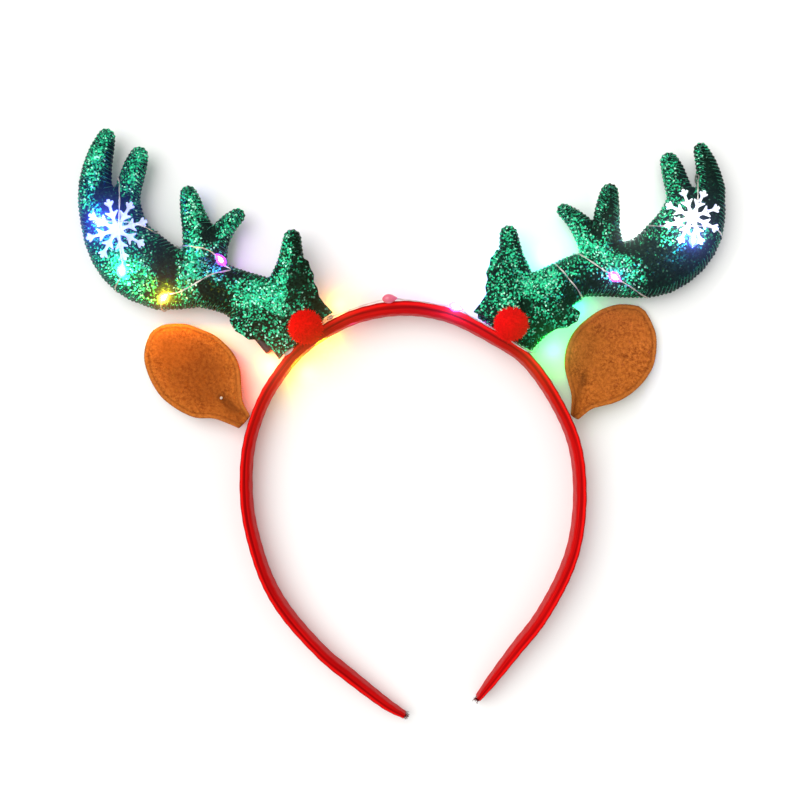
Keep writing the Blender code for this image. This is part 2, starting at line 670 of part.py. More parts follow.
def wire(name, points, finish):
    curve = bpy.data.curves.new(name, "CURVE")
    curve.dimensions = "3D"
    curve.bevel_depth = WIRE_RADIUS * MM
    curve.bevel_resolution = 2
    curve.use_fill_caps = True
    curve.materials.append(finish)
    spline = curve.splines.new("POLY")
    spline.points.add(len(points) - 1)
    for slot, point in zip(spline.points, points):
        slot.co = (*(point * MM), 1.0)
    solid = bpy.data.objects.new(name, curve)
    bpy.context.scene.collection.objects.link(solid)
    return solid


def light_string(label, stops, things, finish):
    """Wires from light to light along a route, each ending just short of its drop."""
    surface = surface_of(things)
    seats = [resting_place(surface, stop) for stop in stops]
    for index, stop in enumerate(stops):
        if stop.drop:
            seats[index] = Vector(pushed_clear(surface, [seats[index]], DROP_CLEAR)[0])
    route = smooth_rows([tuple(seat) for seat in seats], WIRE_FINE)
    route = pushed_clear(surface, route, WIRE_CLEAR)
    cuts = []
    for stop, seat in zip(stops, seats):
        if stop.drop is None:
            continue
        apart = np.linalg.norm(route - np.array(seat), axis=1)
        nearest = int(apart.argmin())
        low = max(nearest - HEADING_SPAN, 0)
        high = min(nearest + HEADING_SPAN, len(route) - 1)
        heading = route[high] - route[low]
        drop_light(stop.drop.name, seat, heading / np.linalg.norm(heading), stop.drop.colour)
        inside = apart < DROP_LENGTH / 2 + WIRE_TO_DROP
        cuts.append((nearest - inside[:nearest][::-1].argmin() - 1 if nearest else -1,
                     nearest + inside[nearest:].argmin() if not inside[nearest:].all()
                     else len(route)))
    start = 0
    number = 1
    for before, after in cuts + [(len(route) - 1, len(route))]:
        run = route[start:before + 1]
        if len(run) > 3:
            wire(f"wire_{label}_{number}", thinned(run), finish)
            number += 1
        start = after


clear_scene()
glitter = finish_of("glitter_fabric", GLITTER_GREEN, 0.35, 0.3)
leaf_glitter = finish_of("glitter_leaf", GLITTER_GREEN, 0.35, 0.3)
felt = finish_of("felt", FELT_TAN, 0.95)
yarn = finish_of("yarn", POMPOM_RED, 0.95)
pearl = finish_of("pearl", PEARL, 0.25)
silver = finish_of("silver_wire", SILVER, 0.3, 1.0)
clear_glue = finish_of("glue", GLUE_CLEAR, 0.2)

band = hoop()
left_antler = antler("antler_left", LEFT_BEAM, LEFT_TINES, glitter)
right_antler = antler("antler_right", RIGHT_BEAM, RIGHT_TINES, glitter)
leaves = [holly_leaf(leaf, leaf_glitter) for leaf in LEAVES]
ears = [felt_ear(ear, felt) for ear in EARS]
pompoms = [pompom(spot, yarn) for spot in POMPOMS]
flakes = [snowflake(flake, pearl) for flake in FLAKES]
case = cell_case()
beads = [glue_bead(bead, clear_glue) for bead in GLUE]
light_string("left", LEFT_STRING, [left_antler, band, case] + leaves[:2], silver)
light_string("right", RIGHT_STRING, [right_antler, band] + leaves[2:] + beads, silver)
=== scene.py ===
"""Reindeer antler headband lying on its back: the looks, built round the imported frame.

Tables are in millimetres in the object's own frame: the origin is on the hoop's lower edge at
its crown, +X towards the right antler, +Y towards the antler tips, +Z up from the surface.
"""
import math
from collections import namedtuple

import bmesh
import bpy
import numpy as np
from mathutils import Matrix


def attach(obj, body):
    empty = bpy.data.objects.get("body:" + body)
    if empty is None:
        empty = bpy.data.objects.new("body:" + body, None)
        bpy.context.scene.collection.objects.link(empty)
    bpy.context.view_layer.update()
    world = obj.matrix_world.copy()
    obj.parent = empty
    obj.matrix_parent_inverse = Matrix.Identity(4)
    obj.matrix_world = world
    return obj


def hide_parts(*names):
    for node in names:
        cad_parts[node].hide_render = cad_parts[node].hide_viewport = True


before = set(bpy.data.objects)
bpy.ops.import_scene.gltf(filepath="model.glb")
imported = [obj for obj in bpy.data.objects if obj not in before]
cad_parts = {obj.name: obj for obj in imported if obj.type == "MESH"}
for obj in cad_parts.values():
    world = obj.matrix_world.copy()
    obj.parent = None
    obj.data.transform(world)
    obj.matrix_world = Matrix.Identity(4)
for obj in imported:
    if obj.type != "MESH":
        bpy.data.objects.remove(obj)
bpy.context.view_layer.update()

# Camera
# It looks straight down from 480 mm over the antlers' middle plane, as the photograph does,
# where one pixel of its 800 is 0.36 mm on that plane.
MM = 0.001
CAMERA_AT = (-3.6, -33.12, 488.0)
PIXEL = 0.36
PLANE = 8.0
PHOTO_MIDDLE = 400
LENS = 60
SENSOR = 36
NEAREST_SEEN = 10.0

camera = bpy.data.objects.new("camera", bpy.data.cameras.new("camera"))
camera.data.lens = LENS
camera.data.sensor_width = SENSOR
camera.data.clip_start = NEAREST_SEEN * MM
camera.location = [value * MM for value in CAMERA_AT]
bpy.context.scene.collection.objects.link(camera)
bpy.context.scene.camera = camera


def under(px, py, height):
    """The place in mm, at a height, under a photo pixel: middle + pixels * size there."""
    size = PIXEL * (CAMERA_AT[2] - height) / (CAMERA_AT[2] - PLANE)
    return np.stack([
        (px - PHOTO_MIDDLE) * size + CAMERA_AT[0], (PHOTO_MIDDLE - py) * size + CAMERA_AT[1]], -1)


# Antlers
# Two panels of glitter-coated fabric, stuffed with fibre and whip-stitched round the edge.
# The stitches pull the edge in at each turn, and the stuffing puckers into soft creases.
# Strokes, laid on the photograph's pixels, say where the cloth dips and where painted
# highlight and painted shade lie on its glitter.
VOXEL = 0.42
SMOOTHING = 20
SEAM_HEIGHT = 7.9
SEAM_SPACING = 0.35
STITCH_PITCH = 1.5
STITCH_REACH = 2.5
STITCH_SLANT = 0.55
STITCH_PULL = 0.42
STITCH_THREAD = 0.15
STITCH_RISE = 2.6
GROOVE_WIDTH = 0.26
SHADE_WIDTH = 0.27
SHADE_AT_THREAD = 0.95
PAINTED_SHEEN_AT_EDGE = 0.22
STUFFING_REACH = 3.0
STUFFING_PUSH = 0.55
SWELL_REACH = 2.2
FRONT_HEIGHT = 12
WIRE_OFF_SEAM = 0.25
SEAM_SWELL = 0.42
ROUGH_WAVES = ((9.0, 0.16), (6.1, 0.12), (13.0, 0.22), (4.3, 0.06), (17.0, 0.2), (5.2, 0.08))
Stroke = namedtuple("Stroke", "px0 py0 px1 py1 reach amount")
# Sheen strokes: painted highlight where the amount is above zero, painted shade below it.
LEFT_PAINTED_SHEEN = [
    Stroke(108, 131, 94, 160, 3.2, 0.42), Stroke(93, 160, 88, 200, 2.8, 0.38),
    Stroke(112, 145, 108, 195, 2.4, -0.65), Stroke(100, 195, 112, 205, 3.0, -0.52),
    Stroke(141, 152, 128, 188, 3.0, 0.40), Stroke(150, 160, 141, 205, 2.2, -0.45),
    Stroke(126, 196, 122, 212, 2.0, -0.26), Stroke(188, 192, 190, 236, 3.4, 0.40),
    Stroke(240, 213, 216, 243, 2.2, 0.36), Stroke(206, 222, 212, 240, 2.0, -0.39),
    Stroke(112, 250, 136, 285, 5.5, 0.34), Stroke(120, 300, 150, 322, 3.0, -0.13),
    Stroke(165, 246, 168, 292, 3.4, -0.65), Stroke(150, 262, 150, 300, 2.4, 0.05),
    Stroke(196, 252, 184, 286, 4.4, 0.5), Stroke(206, 288, 226, 296, 3.0, -0.42),
    Stroke(205, 250, 226, 262, 2.4, -0.13), Stroke(232, 274, 272, 276, 2.2, -0.44),
    Stroke(238, 296, 286, 284, 6.0, 0.52), Stroke(262, 306, 290, 306, 5.0, 0.42),
    Stroke(287, 240, 286, 285, 2.6, 0.40), Stroke(296, 238, 300, 280, 1.8, -0.39),
    Stroke(212, 306, 238, 316, 3.0, -0.33), Stroke(282, 268, 306, 300, 1.4, -0.39),
]
# The right antler's painted highlight and painted shade.
RIGHT_PAINTED_SHEEN = [
    Stroke(701, 158, 700, 190, 1.6, 0.36), Stroke(714, 165, 722, 215, 5.0, -0.45),
    Stroke(666, 160, 670, 200, 3.0, 0.42), Stroke(686, 160, 694, 200, 2.0, -0.26),
    Stroke(668, 205, 664, 222, 2.2, 0.28), Stroke(690, 205, 704, 215, 3.0, -0.09),
    Stroke(612, 190, 616, 235, 3.4, -0.19), Stroke(601, 192, 604, 205, 1.6, 0.25),
    Stroke(566, 210, 586, 246, 2.6, 0.45), Stroke(588, 214, 596, 232, 2.0, -0.26),
    Stroke(584, 246, 640, 276, 4.6, 0.52), Stroke(560, 266, 572, 296, 4.0, -0.39),
    Stroke(590, 284, 612, 292, 3.0, -0.30), Stroke(526, 286, 562, 272, 4.8, 0.55),
    Stroke(508, 232, 512, 268, 2.4, 0.30), Stroke(516, 236, 524, 268, 1.4, -0.22),
    Stroke(625, 248, 632, 226, 3.4, -0.30), Stroke(650, 262, 706, 262, 8.0, -0.37),
    Stroke(652, 284, 700, 280, 5.0, -0.26), Stroke(520, 306, 545, 316, 4.0, -0.22),
]
LEFT_CREASES = [
    Stroke(163, 246, 167, 296, 1.5, 0.75), Stroke(172, 250, 176, 282, 1.2, 0.4),
    Stroke(206, 286, 226, 296, 1.5, 0.6), Stroke(108, 150, 112, 196, 1.2, 0.35),
    Stroke(232, 272, 262, 276, 1.1, 0.4), Stroke(96, 246, 92, 200, 1.2, 0.25),
]
RIGHT_CREASES = [
    Stroke(574, 252, 566, 296, 1.5, 0.7), Stroke(590, 284, 612, 292, 1.4, 0.5),
    Stroke(628, 246, 634, 226, 1.5, 0.5), Stroke(650, 250, 690, 262, 1.8, 0.35),
    Stroke(540, 262, 548, 280, 1.1, 0.3), Stroke(716, 170, 722, 214, 1.2, 0.3),
]
BASE_SHEEN = 0.26
FLAKES_PER_M = 1750.0
GREEN_DARK = (0.002, 0.013, 0.006, 1)
GREEN_DULL = (0.008, 0.16, 0.070, 1)
GREEN_FLAKE = (0.055, 0.98, 0.46, 1)
GREEN_PAINTED_GLINT = (0.42, 1.0, 0.68, 1)
THREAD_GREEN = (0.006, 0.10, 0.05, 1)


def place(tree, kind, sockets=(), **settings):
    """Add a shader node: settings are its properties, sockets its values or what feeds them."""
    made = tree.nodes.new(kind)
    for key, value in settings.items():
        setattr(made, key, value)
    for key, value in dict(sockets).items():
        if isinstance(value, bpy.types.NodeSocket):
            tree.links.new(value, made.inputs[key])
        else:
            made.inputs[key].default_value = value
    return made


def finish(name, **values):
    """A material with one Principled shader; returns it, its tree and the shader."""
    made = bpy.data.materials.new(name)
    made.use_nodes = True
    shader = made.node_tree.nodes["Principled BSDF"]
    for key, value in values.items():
        shader.inputs[key.replace("_", " ")].default_value = value
    return made, made.node_tree, shader


def group_of(name, inputs, outputs):
    """An empty shader group with named sockets; returns it with its two end nodes."""
    made = bpy.data.node_groups.new(name, "ShaderNodeTree")
    for label, kind in inputs.items():
        made.interface.new_socket(label, in_out="INPUT", socket_type="NodeSocket" + kind)
    for label, kind in outputs.items():
        made.interface.new_socket(label, in_out="OUTPUT", socket_type="NodeSocket" + kind)
    return made, made.nodes.new("NodeGroupInput"), made.nodes.new("NodeGroupOutput")


def glitter_group():
    """Flakes as cells: bright where random value + sheen passes one, dark where sheen is low.

    The sheen is a painted highlight and painted shade; its low end also darkens the colour as
    painted shade, and the rare near-white flakes are painted glints.
    """
    made, given, put = group_of(
        "glitter", {"Sheen": "Float", "Flakes per m": "Float", "Tilt": "Float"},
        {"Color": "Color", "Roughness": "Float", "Normal": "Vector"})
    where = place(made, "ShaderNodeTexCoord")
    cells = place(made, "ShaderNodeTexVoronoi", {
        "Vector": where.outputs["Object"], "Scale": given.outputs["Flakes per m"]})
    dice = place(made, "ShaderNodeSeparateColor", {"Color": cells.outputs["Color"]})
    patch = place(made, "ShaderNodeTexNoise", {
        "Vector": where.outputs["Object"], "Scale": 260.0, "Detail": 2.0})
    uneven = place(made, "ShaderNodeMapRange", {
        "Value": patch.outputs["Fac"], "From Min": 0.3, "From Max": 0.7,
        "To Min": -0.18, "To Max": 0.18})
    raised = place(made, "ShaderNodeMath", {
        0: given.outputs["Sheen"], 1: uneven.outputs["Result"]}, operation="ADD")
    chance = place(made, "ShaderNodeMath", {
        0: dice.outputs["Red"], 1: raised.outputs[0]}, operation="ADD")
    lit = place(made, "ShaderNodeMapRange", {
        "Value": chance.outputs[0], "From Min": 0.84, "From Max": 1.04})
    strength = place(made, "ShaderNodeMapRange", {
        "Value": dice.outputs["Green"], "From Min": 0.15, "From Max": 0.85})
    hue = place(made, "ShaderNodeMix", {
        "Factor": strength.outputs["Result"], 6: GREEN_DULL, 7: GREEN_FLAKE}, data_type="RGBA")
    core = place(made, "ShaderNodeMapRange", {
        "Value": cells.outputs["Distance"], "From Min": 0.95, "From Max": 0.55})
    flake = place(made, "ShaderNodeMath", {
        0: lit.outputs["Result"], 1: core.outputs["Result"]}, operation="MULTIPLY")
    green = place(made, "ShaderNodeMix", {
        "Factor": flake.outputs[0], 6: GREEN_DARK, 7: hue.outputs[2]}, data_type="RGBA")
    # Painted glints: rare near-white flakes, more of them where the painted sheen is high.
    painted_glint_chance = place(made, "ShaderNodeMath", {
        0: given.outputs["Sheen"], 1: 0.14, 2: dice.outputs["Blue"]}, operation="MULTIPLY_ADD")
    painted_glint = place(made, "ShaderNodeMapRange", {
        "Value": painted_glint_chance.outputs[0], "From Min": 0.97, "From Max": 1.02, "To Max": 0.85})
    bright = place(made, "ShaderNodeMath", {
        0: painted_glint.outputs["Result"], 1: core.outputs["Result"]}, operation="MULTIPLY")
    colour = place(made, "ShaderNodeMix", {
        "Factor": bright.outputs[0], 6: green.outputs[2], 7: GREEN_PAINTED_GLINT}, data_type="RGBA")
    rough = place(made, "ShaderNodeMapRange", {
        "Value": dice.outputs["Green"], "To Min": 0.22, "To Max": 0.55})
    lean = place(made, "ShaderNodeVectorMath", {
        0: cells.outputs["Color"], 1: (0.5, 0.5, 0.5)}, operation="SUBTRACT")
    tilted = place(made, "ShaderNodeVectorMath", {
        0: lean.outputs[0], "Scale": given.outputs["Tilt"]}, operation="SCALE")
    surface = place(made, "ShaderNodeNewGeometry")
    leaning = place(made, "ShaderNodeVectorMath", {
        0: surface.outputs["Normal"], 1: tilted.outputs[0]}, operation="ADD")
    unit = place(made, "ShaderNodeVectorMath", {0: leaning.outputs[0]}, operation="NORMALIZE")
    # Painted shade: where the sheen is low the colour is pulled towards GREEN_DARK.
    dim = place(made, "ShaderNodeMapRange", {
        "Value": given.outputs["Sheen"], "From Min": 0.02, "From Max": 0.24,
        "To Min": 0.85, "To Max": 0.0})
    shaded = place(made, "ShaderNodeMix", {
        "Factor": dim.outputs["Result"], 6: colour.outputs[2], 7: GREEN_DARK}, data_type="RGBA")
    made.links.new(shaded.outputs[2], put.inputs["Color"])
    made.links.new(rough.outputs["Result"], put.inputs["Roughness"])
    made.links.new(unit.outputs[0], put.inputs["Normal"])
    return made


glitter = glitter_group()


def glitter_finish(name, flakes, tilt, metallic):
    """Glitter cloth whose share of bright flakes follows the mesh's painted sheen attribute."""
    made, tree, shader = finish(name, Metallic=metallic, Specular_IOR_Level=0.05)
    sheen = place(tree, "ShaderNodeAttribute", attribute_name="sheen")
    looks = place(tree, "ShaderNodeGroup", node_tree=glitter)
    tree.links.new(sheen.outputs["Fac"], looks.inputs["Sheen"])
    looks.inputs["Flakes per m"].default_value = flakes
    looks.inputs["Tilt"].default_value = tilt
    tree.links.new(looks.outputs["Color"], shader.inputs["Base Color"])
    tree.links.new(looks.outputs["Roughness"], shader.inputs["Roughness"])
    tree.links.new(looks.outputs["Normal"], shader.inputs["Normal"])
    return made


def add_piece(name, mesh, material):
    """Show a mesh as a piece that rides on the one body and takes its finish from a slot."""
    mesh.materials.clear()
    mesh.materials.append(material)
    mesh.shade_smooth()
    piece = bpy.data.objects.new(name, mesh)
    bpy.context.scene.collection.objects.link(piece)
    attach(piece, "root")
    return piece


def mesh_of(name, corners, faces):
    """A mesh in metres from an array of corners in mm and lists of corner numbers."""
    made = bpy.data.meshes.new(name)
    made.from_pydata((np.asarray(corners) * MM).tolist(), [], faces)
    return made


def tubes(paths, radii, sides):
    """Closed tubes: each corner = path point + radius * (across * cos turn + up * sin turn)."""
    ahead = np.gradient(paths, axis=1)
    ahead /= np.linalg.norm(ahead, axis=2, keepdims=True) + 1e-9
    lead = np.where(np.abs(ahead[..., 2:]) < 0.9, (0.0, 0.0, 1.0), (1.0, 0.0, 0.0))
    across = np.cross(ahead, lead)
    across /= np.linalg.norm(across, axis=2, keepdims=True)
    up = np.cross(across, ahead)
    turn = np.arange(sides) * 2 * math.pi / sides
    wide = np.broadcast_to(radii, paths.shape[:2])[:, :, None, None]
    rings = paths[:, :, None] + wide * (
        across[:, :, None] * np.cos(turn)[:, None] + up[:, :, None] * np.sin(turn)[:, None])
    index = np.arange(rings.size // 3).reshape(rings.shape[:3])
    low, high = index[:, :-1], index[:, 1:]
    walls = np.stack([low, high, np.roll(high, -1, 2), np.roll(low, -1, 2)], -1).reshape(-1, 4)
    ends = np.concatenate([index[:, 0], index[:, -1, ::-1]])
    return rings.reshape(-1, 3), walls.tolist() + ends.tolist()


def remeshed(name, voxel, smoothing):
    """A node's own form as one even skin of small quads, its joins rounded."""
    source = bmesh.new()
    source.from_mesh(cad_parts[name].data)
    bmesh.ops.remove_doubles(source, verts=source.verts, dist=1e-6)
    rough = bpy.data.meshes.new(name)
    source.to_mesh(rough)
    source.free()
    mould = bpy.data.objects.new(name + "_mould", rough)
    bpy.context.scene.collection.objects.link(mould)
    skin = mould.modifiers.new("skin", "REMESH")
    skin.mode = "VOXEL"
    skin.voxel_size = voxel * MM
    soften = mould.modifiers.new("soften", "SMOOTH")
    soften.factor = 0.5
    soften.iterations = smoothing
    graph = bpy.context.evaluated_depsgraph_get()
    made = bpy.data.meshes.new_from_object(mould.evaluated_get(graph))
    bpy.data.objects.remove(mould)
    return made


def corners_of(mesh):
    """Corners in mm and their normals, as two arrays."""
    points = np.empty(len(mesh.vertices) * 3)
    normals = np.empty(len(mesh.vertices) * 3)
    mesh.vertices.foreach_get("co", points)
    mesh.vertex_normals.foreach_get("vector", normals)
    return points.reshape(-1, 3) / MM, normals.reshape(-1, 3)


def move_corners(mesh, points):
    """Put a mesh's corners where an array in mm says."""
    mesh.vertices.foreach_set("co", (points * MM).ravel())
    mesh.update()


def give_attribute(mesh, name, values):
    """Store one number for each corner, for a material to read."""
    made = mesh.attributes.new(name, "FLOAT", "POINT")
    made.data.foreach_set("value", np.asarray(values, dtype=np.float32))


def nearest(points, targets):
    """For each point the number of the closest target, in blocks of at most 4 million pairs."""
    blocks = max(1, len(points) * len(targets) // 4_000_000)
    return np.concatenate([
        ((block[:, None] - targets[None]) ** 2).sum(2).argmin(1)
        for block in np.array_split(points, blocks)])


def evenly(points, spacing):
    """A path resampled at equal steps of its own length."""
    run = np.concatenate([[0], np.cumsum(np.linalg.norm(np.diff(points, axis=0), axis=1))])
    steps = np.linspace(0, run[-1], max(2, round(run[-1] / spacing) + 1))
    return np.stack([np.interp(steps, run, column) for column in points.T], -1)


def seam_line(mesh, height):
    """The closed outline, anticlockwise from its topmost point, where a level plane cuts."""
    cut = bmesh.new()
    cut.from_mesh(mesh)
    bmesh.ops.bisect_plane(
        cut, geom=cut.verts[:] + cut.edges[:] + cut.faces[:], plane_co=(0, 0, height * MM),
        plane_no=(0, 0, 1), clear_inner=True, clear_outer=True)
    left = {edge for edge in cut.edges}
    longest = []
    while left:
        edge = left.pop()
        first, here = edge.verts
        loop = [first.co[:2], here.co[:2]]
        while True:
            onward = next((e for e in here.link_edges if e in left), None)
            if onward is None:
                break
            left.discard(onward)
            here = onward.other_vert(here)
            loop.append(here.co[:2])
        longest = max(longest, loop, key=len)
    cut.free()
    ring = np.array(longest[:-1]) / MM
    ring = np.roll(ring, -ring[:, 1].argmax(), 0)
    ring = np.vstack([ring, ring[:1]])
    area = np.cross(ring[:-1], ring[1:]).sum()
    return evenly(ring if area > 0 else ring[::-1], SEAM_SPACING)[:-1]


def stroke_weight(points, stroke, height):
    """How near points lie to a stroke: exp(-(distance / reach) ** 2), in plan."""
    start = under(stroke.px0, stroke.py0, height)
    end = under(stroke.px1, stroke.py1, height)
    way = end - start
    along = np.clip((points[:, :2] - start) @ way / (way @ way), 0, 1)
    off = np.linalg.norm(points[:, :2] - start - along[:, None] * way, axis=1)
    return np.exp(-(off / stroke.reach) ** 2)


def stitched(name, painted_sheen_strokes, creases, seed):
    """The stuffed antler: push out = swell at the seam + stuffing's waves - grooves - creases."""
    mesh = remeshed(name, VOXEL, SMOOTHING)
    points, normals = corners_of(mesh)
    seam = seam_line(mesh, SEAM_HEIGHT)
    close = nearest(points[:, :2], seam)
    ahead = np.roll(seam, -2, 0) - np.roll(seam, 2, 0)
    ahead /= np.linalg.norm(ahead, axis=1)[:, None]
    inward = np.stack([-ahead[:, 1], ahead[:, 0]], -1)
    off = points[:, :2] - seam[close]
    depth = np.maximum((off * inward[close]).sum(1), 0)
    run = close * SEAM_SPACING + (off * ahead[close]).sum(1)
    side = np.sign(points[:, 2] - SEAM_HEIGHT)
    count = round(len(seam) * SEAM_SPACING / STITCH_PITCH)
    pitch = len(seam) * SEAM_SPACING / count
    phase = (run - STITCH_SLANT * depth * side) / pitch
    from_thread = np.abs(phase - np.round(phase))
    groove = np.exp(-(from_thread / GROOVE_WIDTH) ** 2) - 0.4
    edge = np.exp(-(depth / STITCH_REACH) ** 2)
    dice = np.random.default_rng(seed)
    rough = np.zeros(len(points))
    for length, height in ROUGH_WAVES:
        way = dice.normal(size=3)
        way /= np.linalg.norm(way)
        rough += height * np.sin(points @ way * 2 * math.pi / length + dice.uniform(0, 6.3))
    inside = 1 - np.exp(-(depth / STUFFING_REACH) ** 2)
    front = normals[:, 2] > 0
    dent = sum(
        stroke.amount * stroke_weight(points, stroke, FRONT_HEIGHT) for stroke in creases) * front
    push = (-STITCH_PULL * groove * edge + SEAM_SWELL * np.exp(-(depth / SWELL_REACH) ** 2)
            + inside * (STUFFING_PUSH * rough - dent))
    moved = points + normals * push[:, None]
    move_corners(mesh, moved)
    # The sheen is painted light: a painted highlight on the stuffing's bulges, along the edge and
    # where the strokes say, and painted shade where they say and in each stitch groove.
    sheen = BASE_SHEEN + 0.10 * rough / 0.4
    sheen = sheen + sum(
        stroke.amount * stroke_weight(points, stroke, FRONT_HEIGHT) for stroke in painted_sheen_strokes)
    shade = SHADE_AT_THREAD * np.exp(-(from_thread / SHADE_WIDTH) ** 2)
    sheen = sheen + (PAINTED_SHEEN_AT_EDGE - shade) * edge
    give_attribute(mesh, "sheen", np.clip(sheen, 0.0, 0.97))
    piece = add_piece(name + "_stuffed", mesh, fabric)
    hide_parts(name)
    add_stitches(name, seam, inward, ahead, mesh, pitch, count)
    return mesh, seam - inward * WIRE_OFF_SEAM


def add_stitches(name, seam, inward, ahead, mesh, pitch, count):
    """Whip stitches: each a short thread from the front, slanting round the edge, to the back."""
    points, normals = corners_of(mesh)
    way = np.linspace(-1, 1, 9)
    start = np.round(np.arange(count) * pitch / SEAM_SPACING).astype(int) % len(seam)
    inset = STITCH_REACH * 0.92 * np.abs(way) ** 1.4
    lean = STITCH_SLANT * inset * np.sign(way)
    plan = (seam[start][:, None] + inward[start][:, None] * inset[:, None]
            + ahead[start][:, None] * lean[:, None])
    rise = SEAM_HEIGHT + np.sign(way) * np.sqrt(np.abs(way)) * STITCH_RISE
    guess = np.concatenate([plan, np.broadcast_to(rise[:, None], plan.shape[:2] + (1,))], 2)
    flat = guess.reshape(-1, 3)
    seat = nearest(flat, points)
    gap = ((flat - points[seat]) * normals[seat]).sum(1)
    flat = flat - normals[seat] * (gap - STITCH_THREAD * 0.5)[:, None]
    thin = STITCH_THREAD * np.sqrt(np.clip(1.06 - way ** 2, 0.05, 1))
    corners, faces = tubes(flat.reshape(guess.shape), thin, 5)
    add_piece(
        name + "_stitches", mesh_of(name + "_stitches", corners, faces), thread)


fabric = glitter_finish("glitter_fabric_dressed", FLAKES_PER_M, 1.0, 0.5)
thread, thread_tree, thread_shader = finish(
    "whip_thread", Base_Color=THREAD_GREEN, Roughness=0.35, Metallic=0.3)
strands = place(thread_tree, "ShaderNodeTexNoise", {"Scale": 3800.0, "Detail": 1.0})
strand_where = place(thread_tree, "ShaderNodeTexCoord")
thread_tree.links.new(strand_where.outputs["Object"], strands.inputs["Vector"])
strand_tone = place(thread_tree, "ShaderNodeMix", {
    "Factor": strands.outputs["Fac"], 6: GREEN_DARK, 7: (0.04, 0.4, 0.24, 1)}, data_type="RGBA")
thread_tree.links.new(strand_tone.outputs[2], thread_shader.inputs["Base Color"])
left_antler, left_seam = stitched("antler_left", LEFT_PAINTED_SHEEN, LEFT_CREASES, 5)
right_antler, right_seam = stitched("antler_right", RIGHT_PAINTED_SHEEN, RIGHT_CREASES, 9)

# Holly leaves
# Die-cut from the same glitter cloth with a stiff backing, toothed, and glued at the roots.
# The cloth's edge is cut clean, so it shows as a thin darker rim.
LEAF_VOXEL = 0.26
LEAF_RIPPLE = 0.1
LEAF_RIM_SHADE = 0.2
# Each leaf's painted sheen: a painted highlight above zero, painted shade below it.
LEAF_PAINTED_SHEEN = {
    "leaf_left_upper": -0.16, "leaf_left_lower": 0.02,
    "leaf_right_upper": 0.08, "leaf_right_lower": -0.06,
}
leaf_cloth = glitter_finish("glitter_leaf_dressed", FLAKES_PER_M, 0.8, 0.5)


def leaf(name, tone):
    """A leaf's own form with a slight ripple = LEAF_RIPPLE * sin across * cos along."""
    mesh = remeshed(name, LEAF_VOXEL, 1)
    points, normals = corners_of(mesh)
    ripple = LEAF_RIPPLE * np.sin(points[:, 0] / 2.3) * np.cos(points[:, 1] / 3.1)
    points[:, 2] += ripple
    move_corners(mesh, points)
    rim = LEAF_RIM_SHADE * (np.abs(normals[:, 2]) < 0.7)
    # Painted light: tone lifts or lowers the whole leaf's lit flakes, and the ripple's crests get
    # a painted highlight and its hollows painted shade.
    give_attribute(mesh, "sheen", BASE_SHEEN + tone - rim + ripple)
    piece = add_piece(name + "_cut", mesh, leaf_cloth)
    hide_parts(name)
    return mesh


leaves = [leaf(name, tone) for name, tone in LEAF_PAINTED_SHEEN.items()]

# Band
# A plastic hoop wrapped lengthwise in red satin ribbon, its long fold running along the edge
# that faces front. The ribbon is gathered to a point and frayed at both ends.
Hoop = namedtuple("Hoop", "x y thick depth")
HOOP_ROWS = [
    Hoop(-2.0, -147.5, 1.7, 7.0), Hoop(-9.2, -143.0, 3.0, 8.2),
    Hoop(-22.2, -132.7, 3.6, 10.0), Hoop(-32.0, -124.4, 3.5, 11.0),
    Hoop(-44.0, -110.9, 3.6, 11.8), Hoop(-51.5, -98.3, 3.6, 12.6),
    Hoop(-56.6, -83.1, 3.6, 12.6), Hoop(-59.0, -69.2, 3.6, 12.6),
    Hoop(-58.7, -53.0, 3.6, 12.6), Hoop(-55.5, -39.8, 3.7, 12.6),
    Hoop(-49.6, -27.5, 3.9, 12.6), Hoop(-39.0, -14.4, 4.2, 12.6),
    Hoop(-24.5, -5.0, 4.5, 12.6), Hoop(-11.6, -0.9, 4.7, 12.6),
    Hoop(0.0, 0.0, 4.8, 12.6), Hoop(9.9, -1.4, 4.7, 12.6),
    Hoop(18.4, -4.2, 4.6, 12.6), Hoop(29.9, -10.3, 4.4, 12.6),
    Hoop(41.9, -18.4, 4.1, 12.6), Hoop(51.9, -32.2, 3.7, 12.6),
    Hoop(59.2, -48.3, 3.6, 12.6), Hoop(61.4, -65.3, 3.6, 12.6),
    Hoop(60.0, -82.7, 3.6, 12.6), Hoop(55.4, -96.9, 3.6, 12.6),
    Hoop(47.0, -112.2, 3.5, 11.8), Hoop(38.6, -123.0, 3.3, 11.0),
    Hoop(29.6, -134.9, 2.7, 9.0), Hoop(24.8, -141.3, 1.6, 7.0),
]
HOOP_STEP = 0.6
HOOP_SIDES = 64
HOOP_FLOOR = 0.02
Edge = namedtuple("Edge", "across up")
HOOP_SECTION = [
    Edge(1.0, 0.40), Edge(1.0, 0.80), Edge(0.97, 0.92), Edge(0.84, 0.975), Edge(0.62, 0.995),
    Edge(0.36, 0.990), Edge(0.16, 0.968), Edge(0.04, 0.940), Edge(-0.10, 0.928),
    Edge(-0.34, 0.932), Edge(-0.62, 0.915), Edge(-0.86, 0.870), Edge(-0.97, 0.78),
    Edge(-1.0, 0.60), Edge(-1.0, 0.20), Edge(-0.98, 0.04), Edge(-0.80, 0.0),
    Edge(0.0, 0.0), Edge(0.80, 0.0), Edge(0.98, 0.04), Edge(1.0, 0.18),
]
GATHER_LENGTH = 5.3
GATHER_DEPTH = 0.05
FRAY_COUNT = 46
FRAY_LENGTH = 1.5
FRAY_RADIUS = 0.075


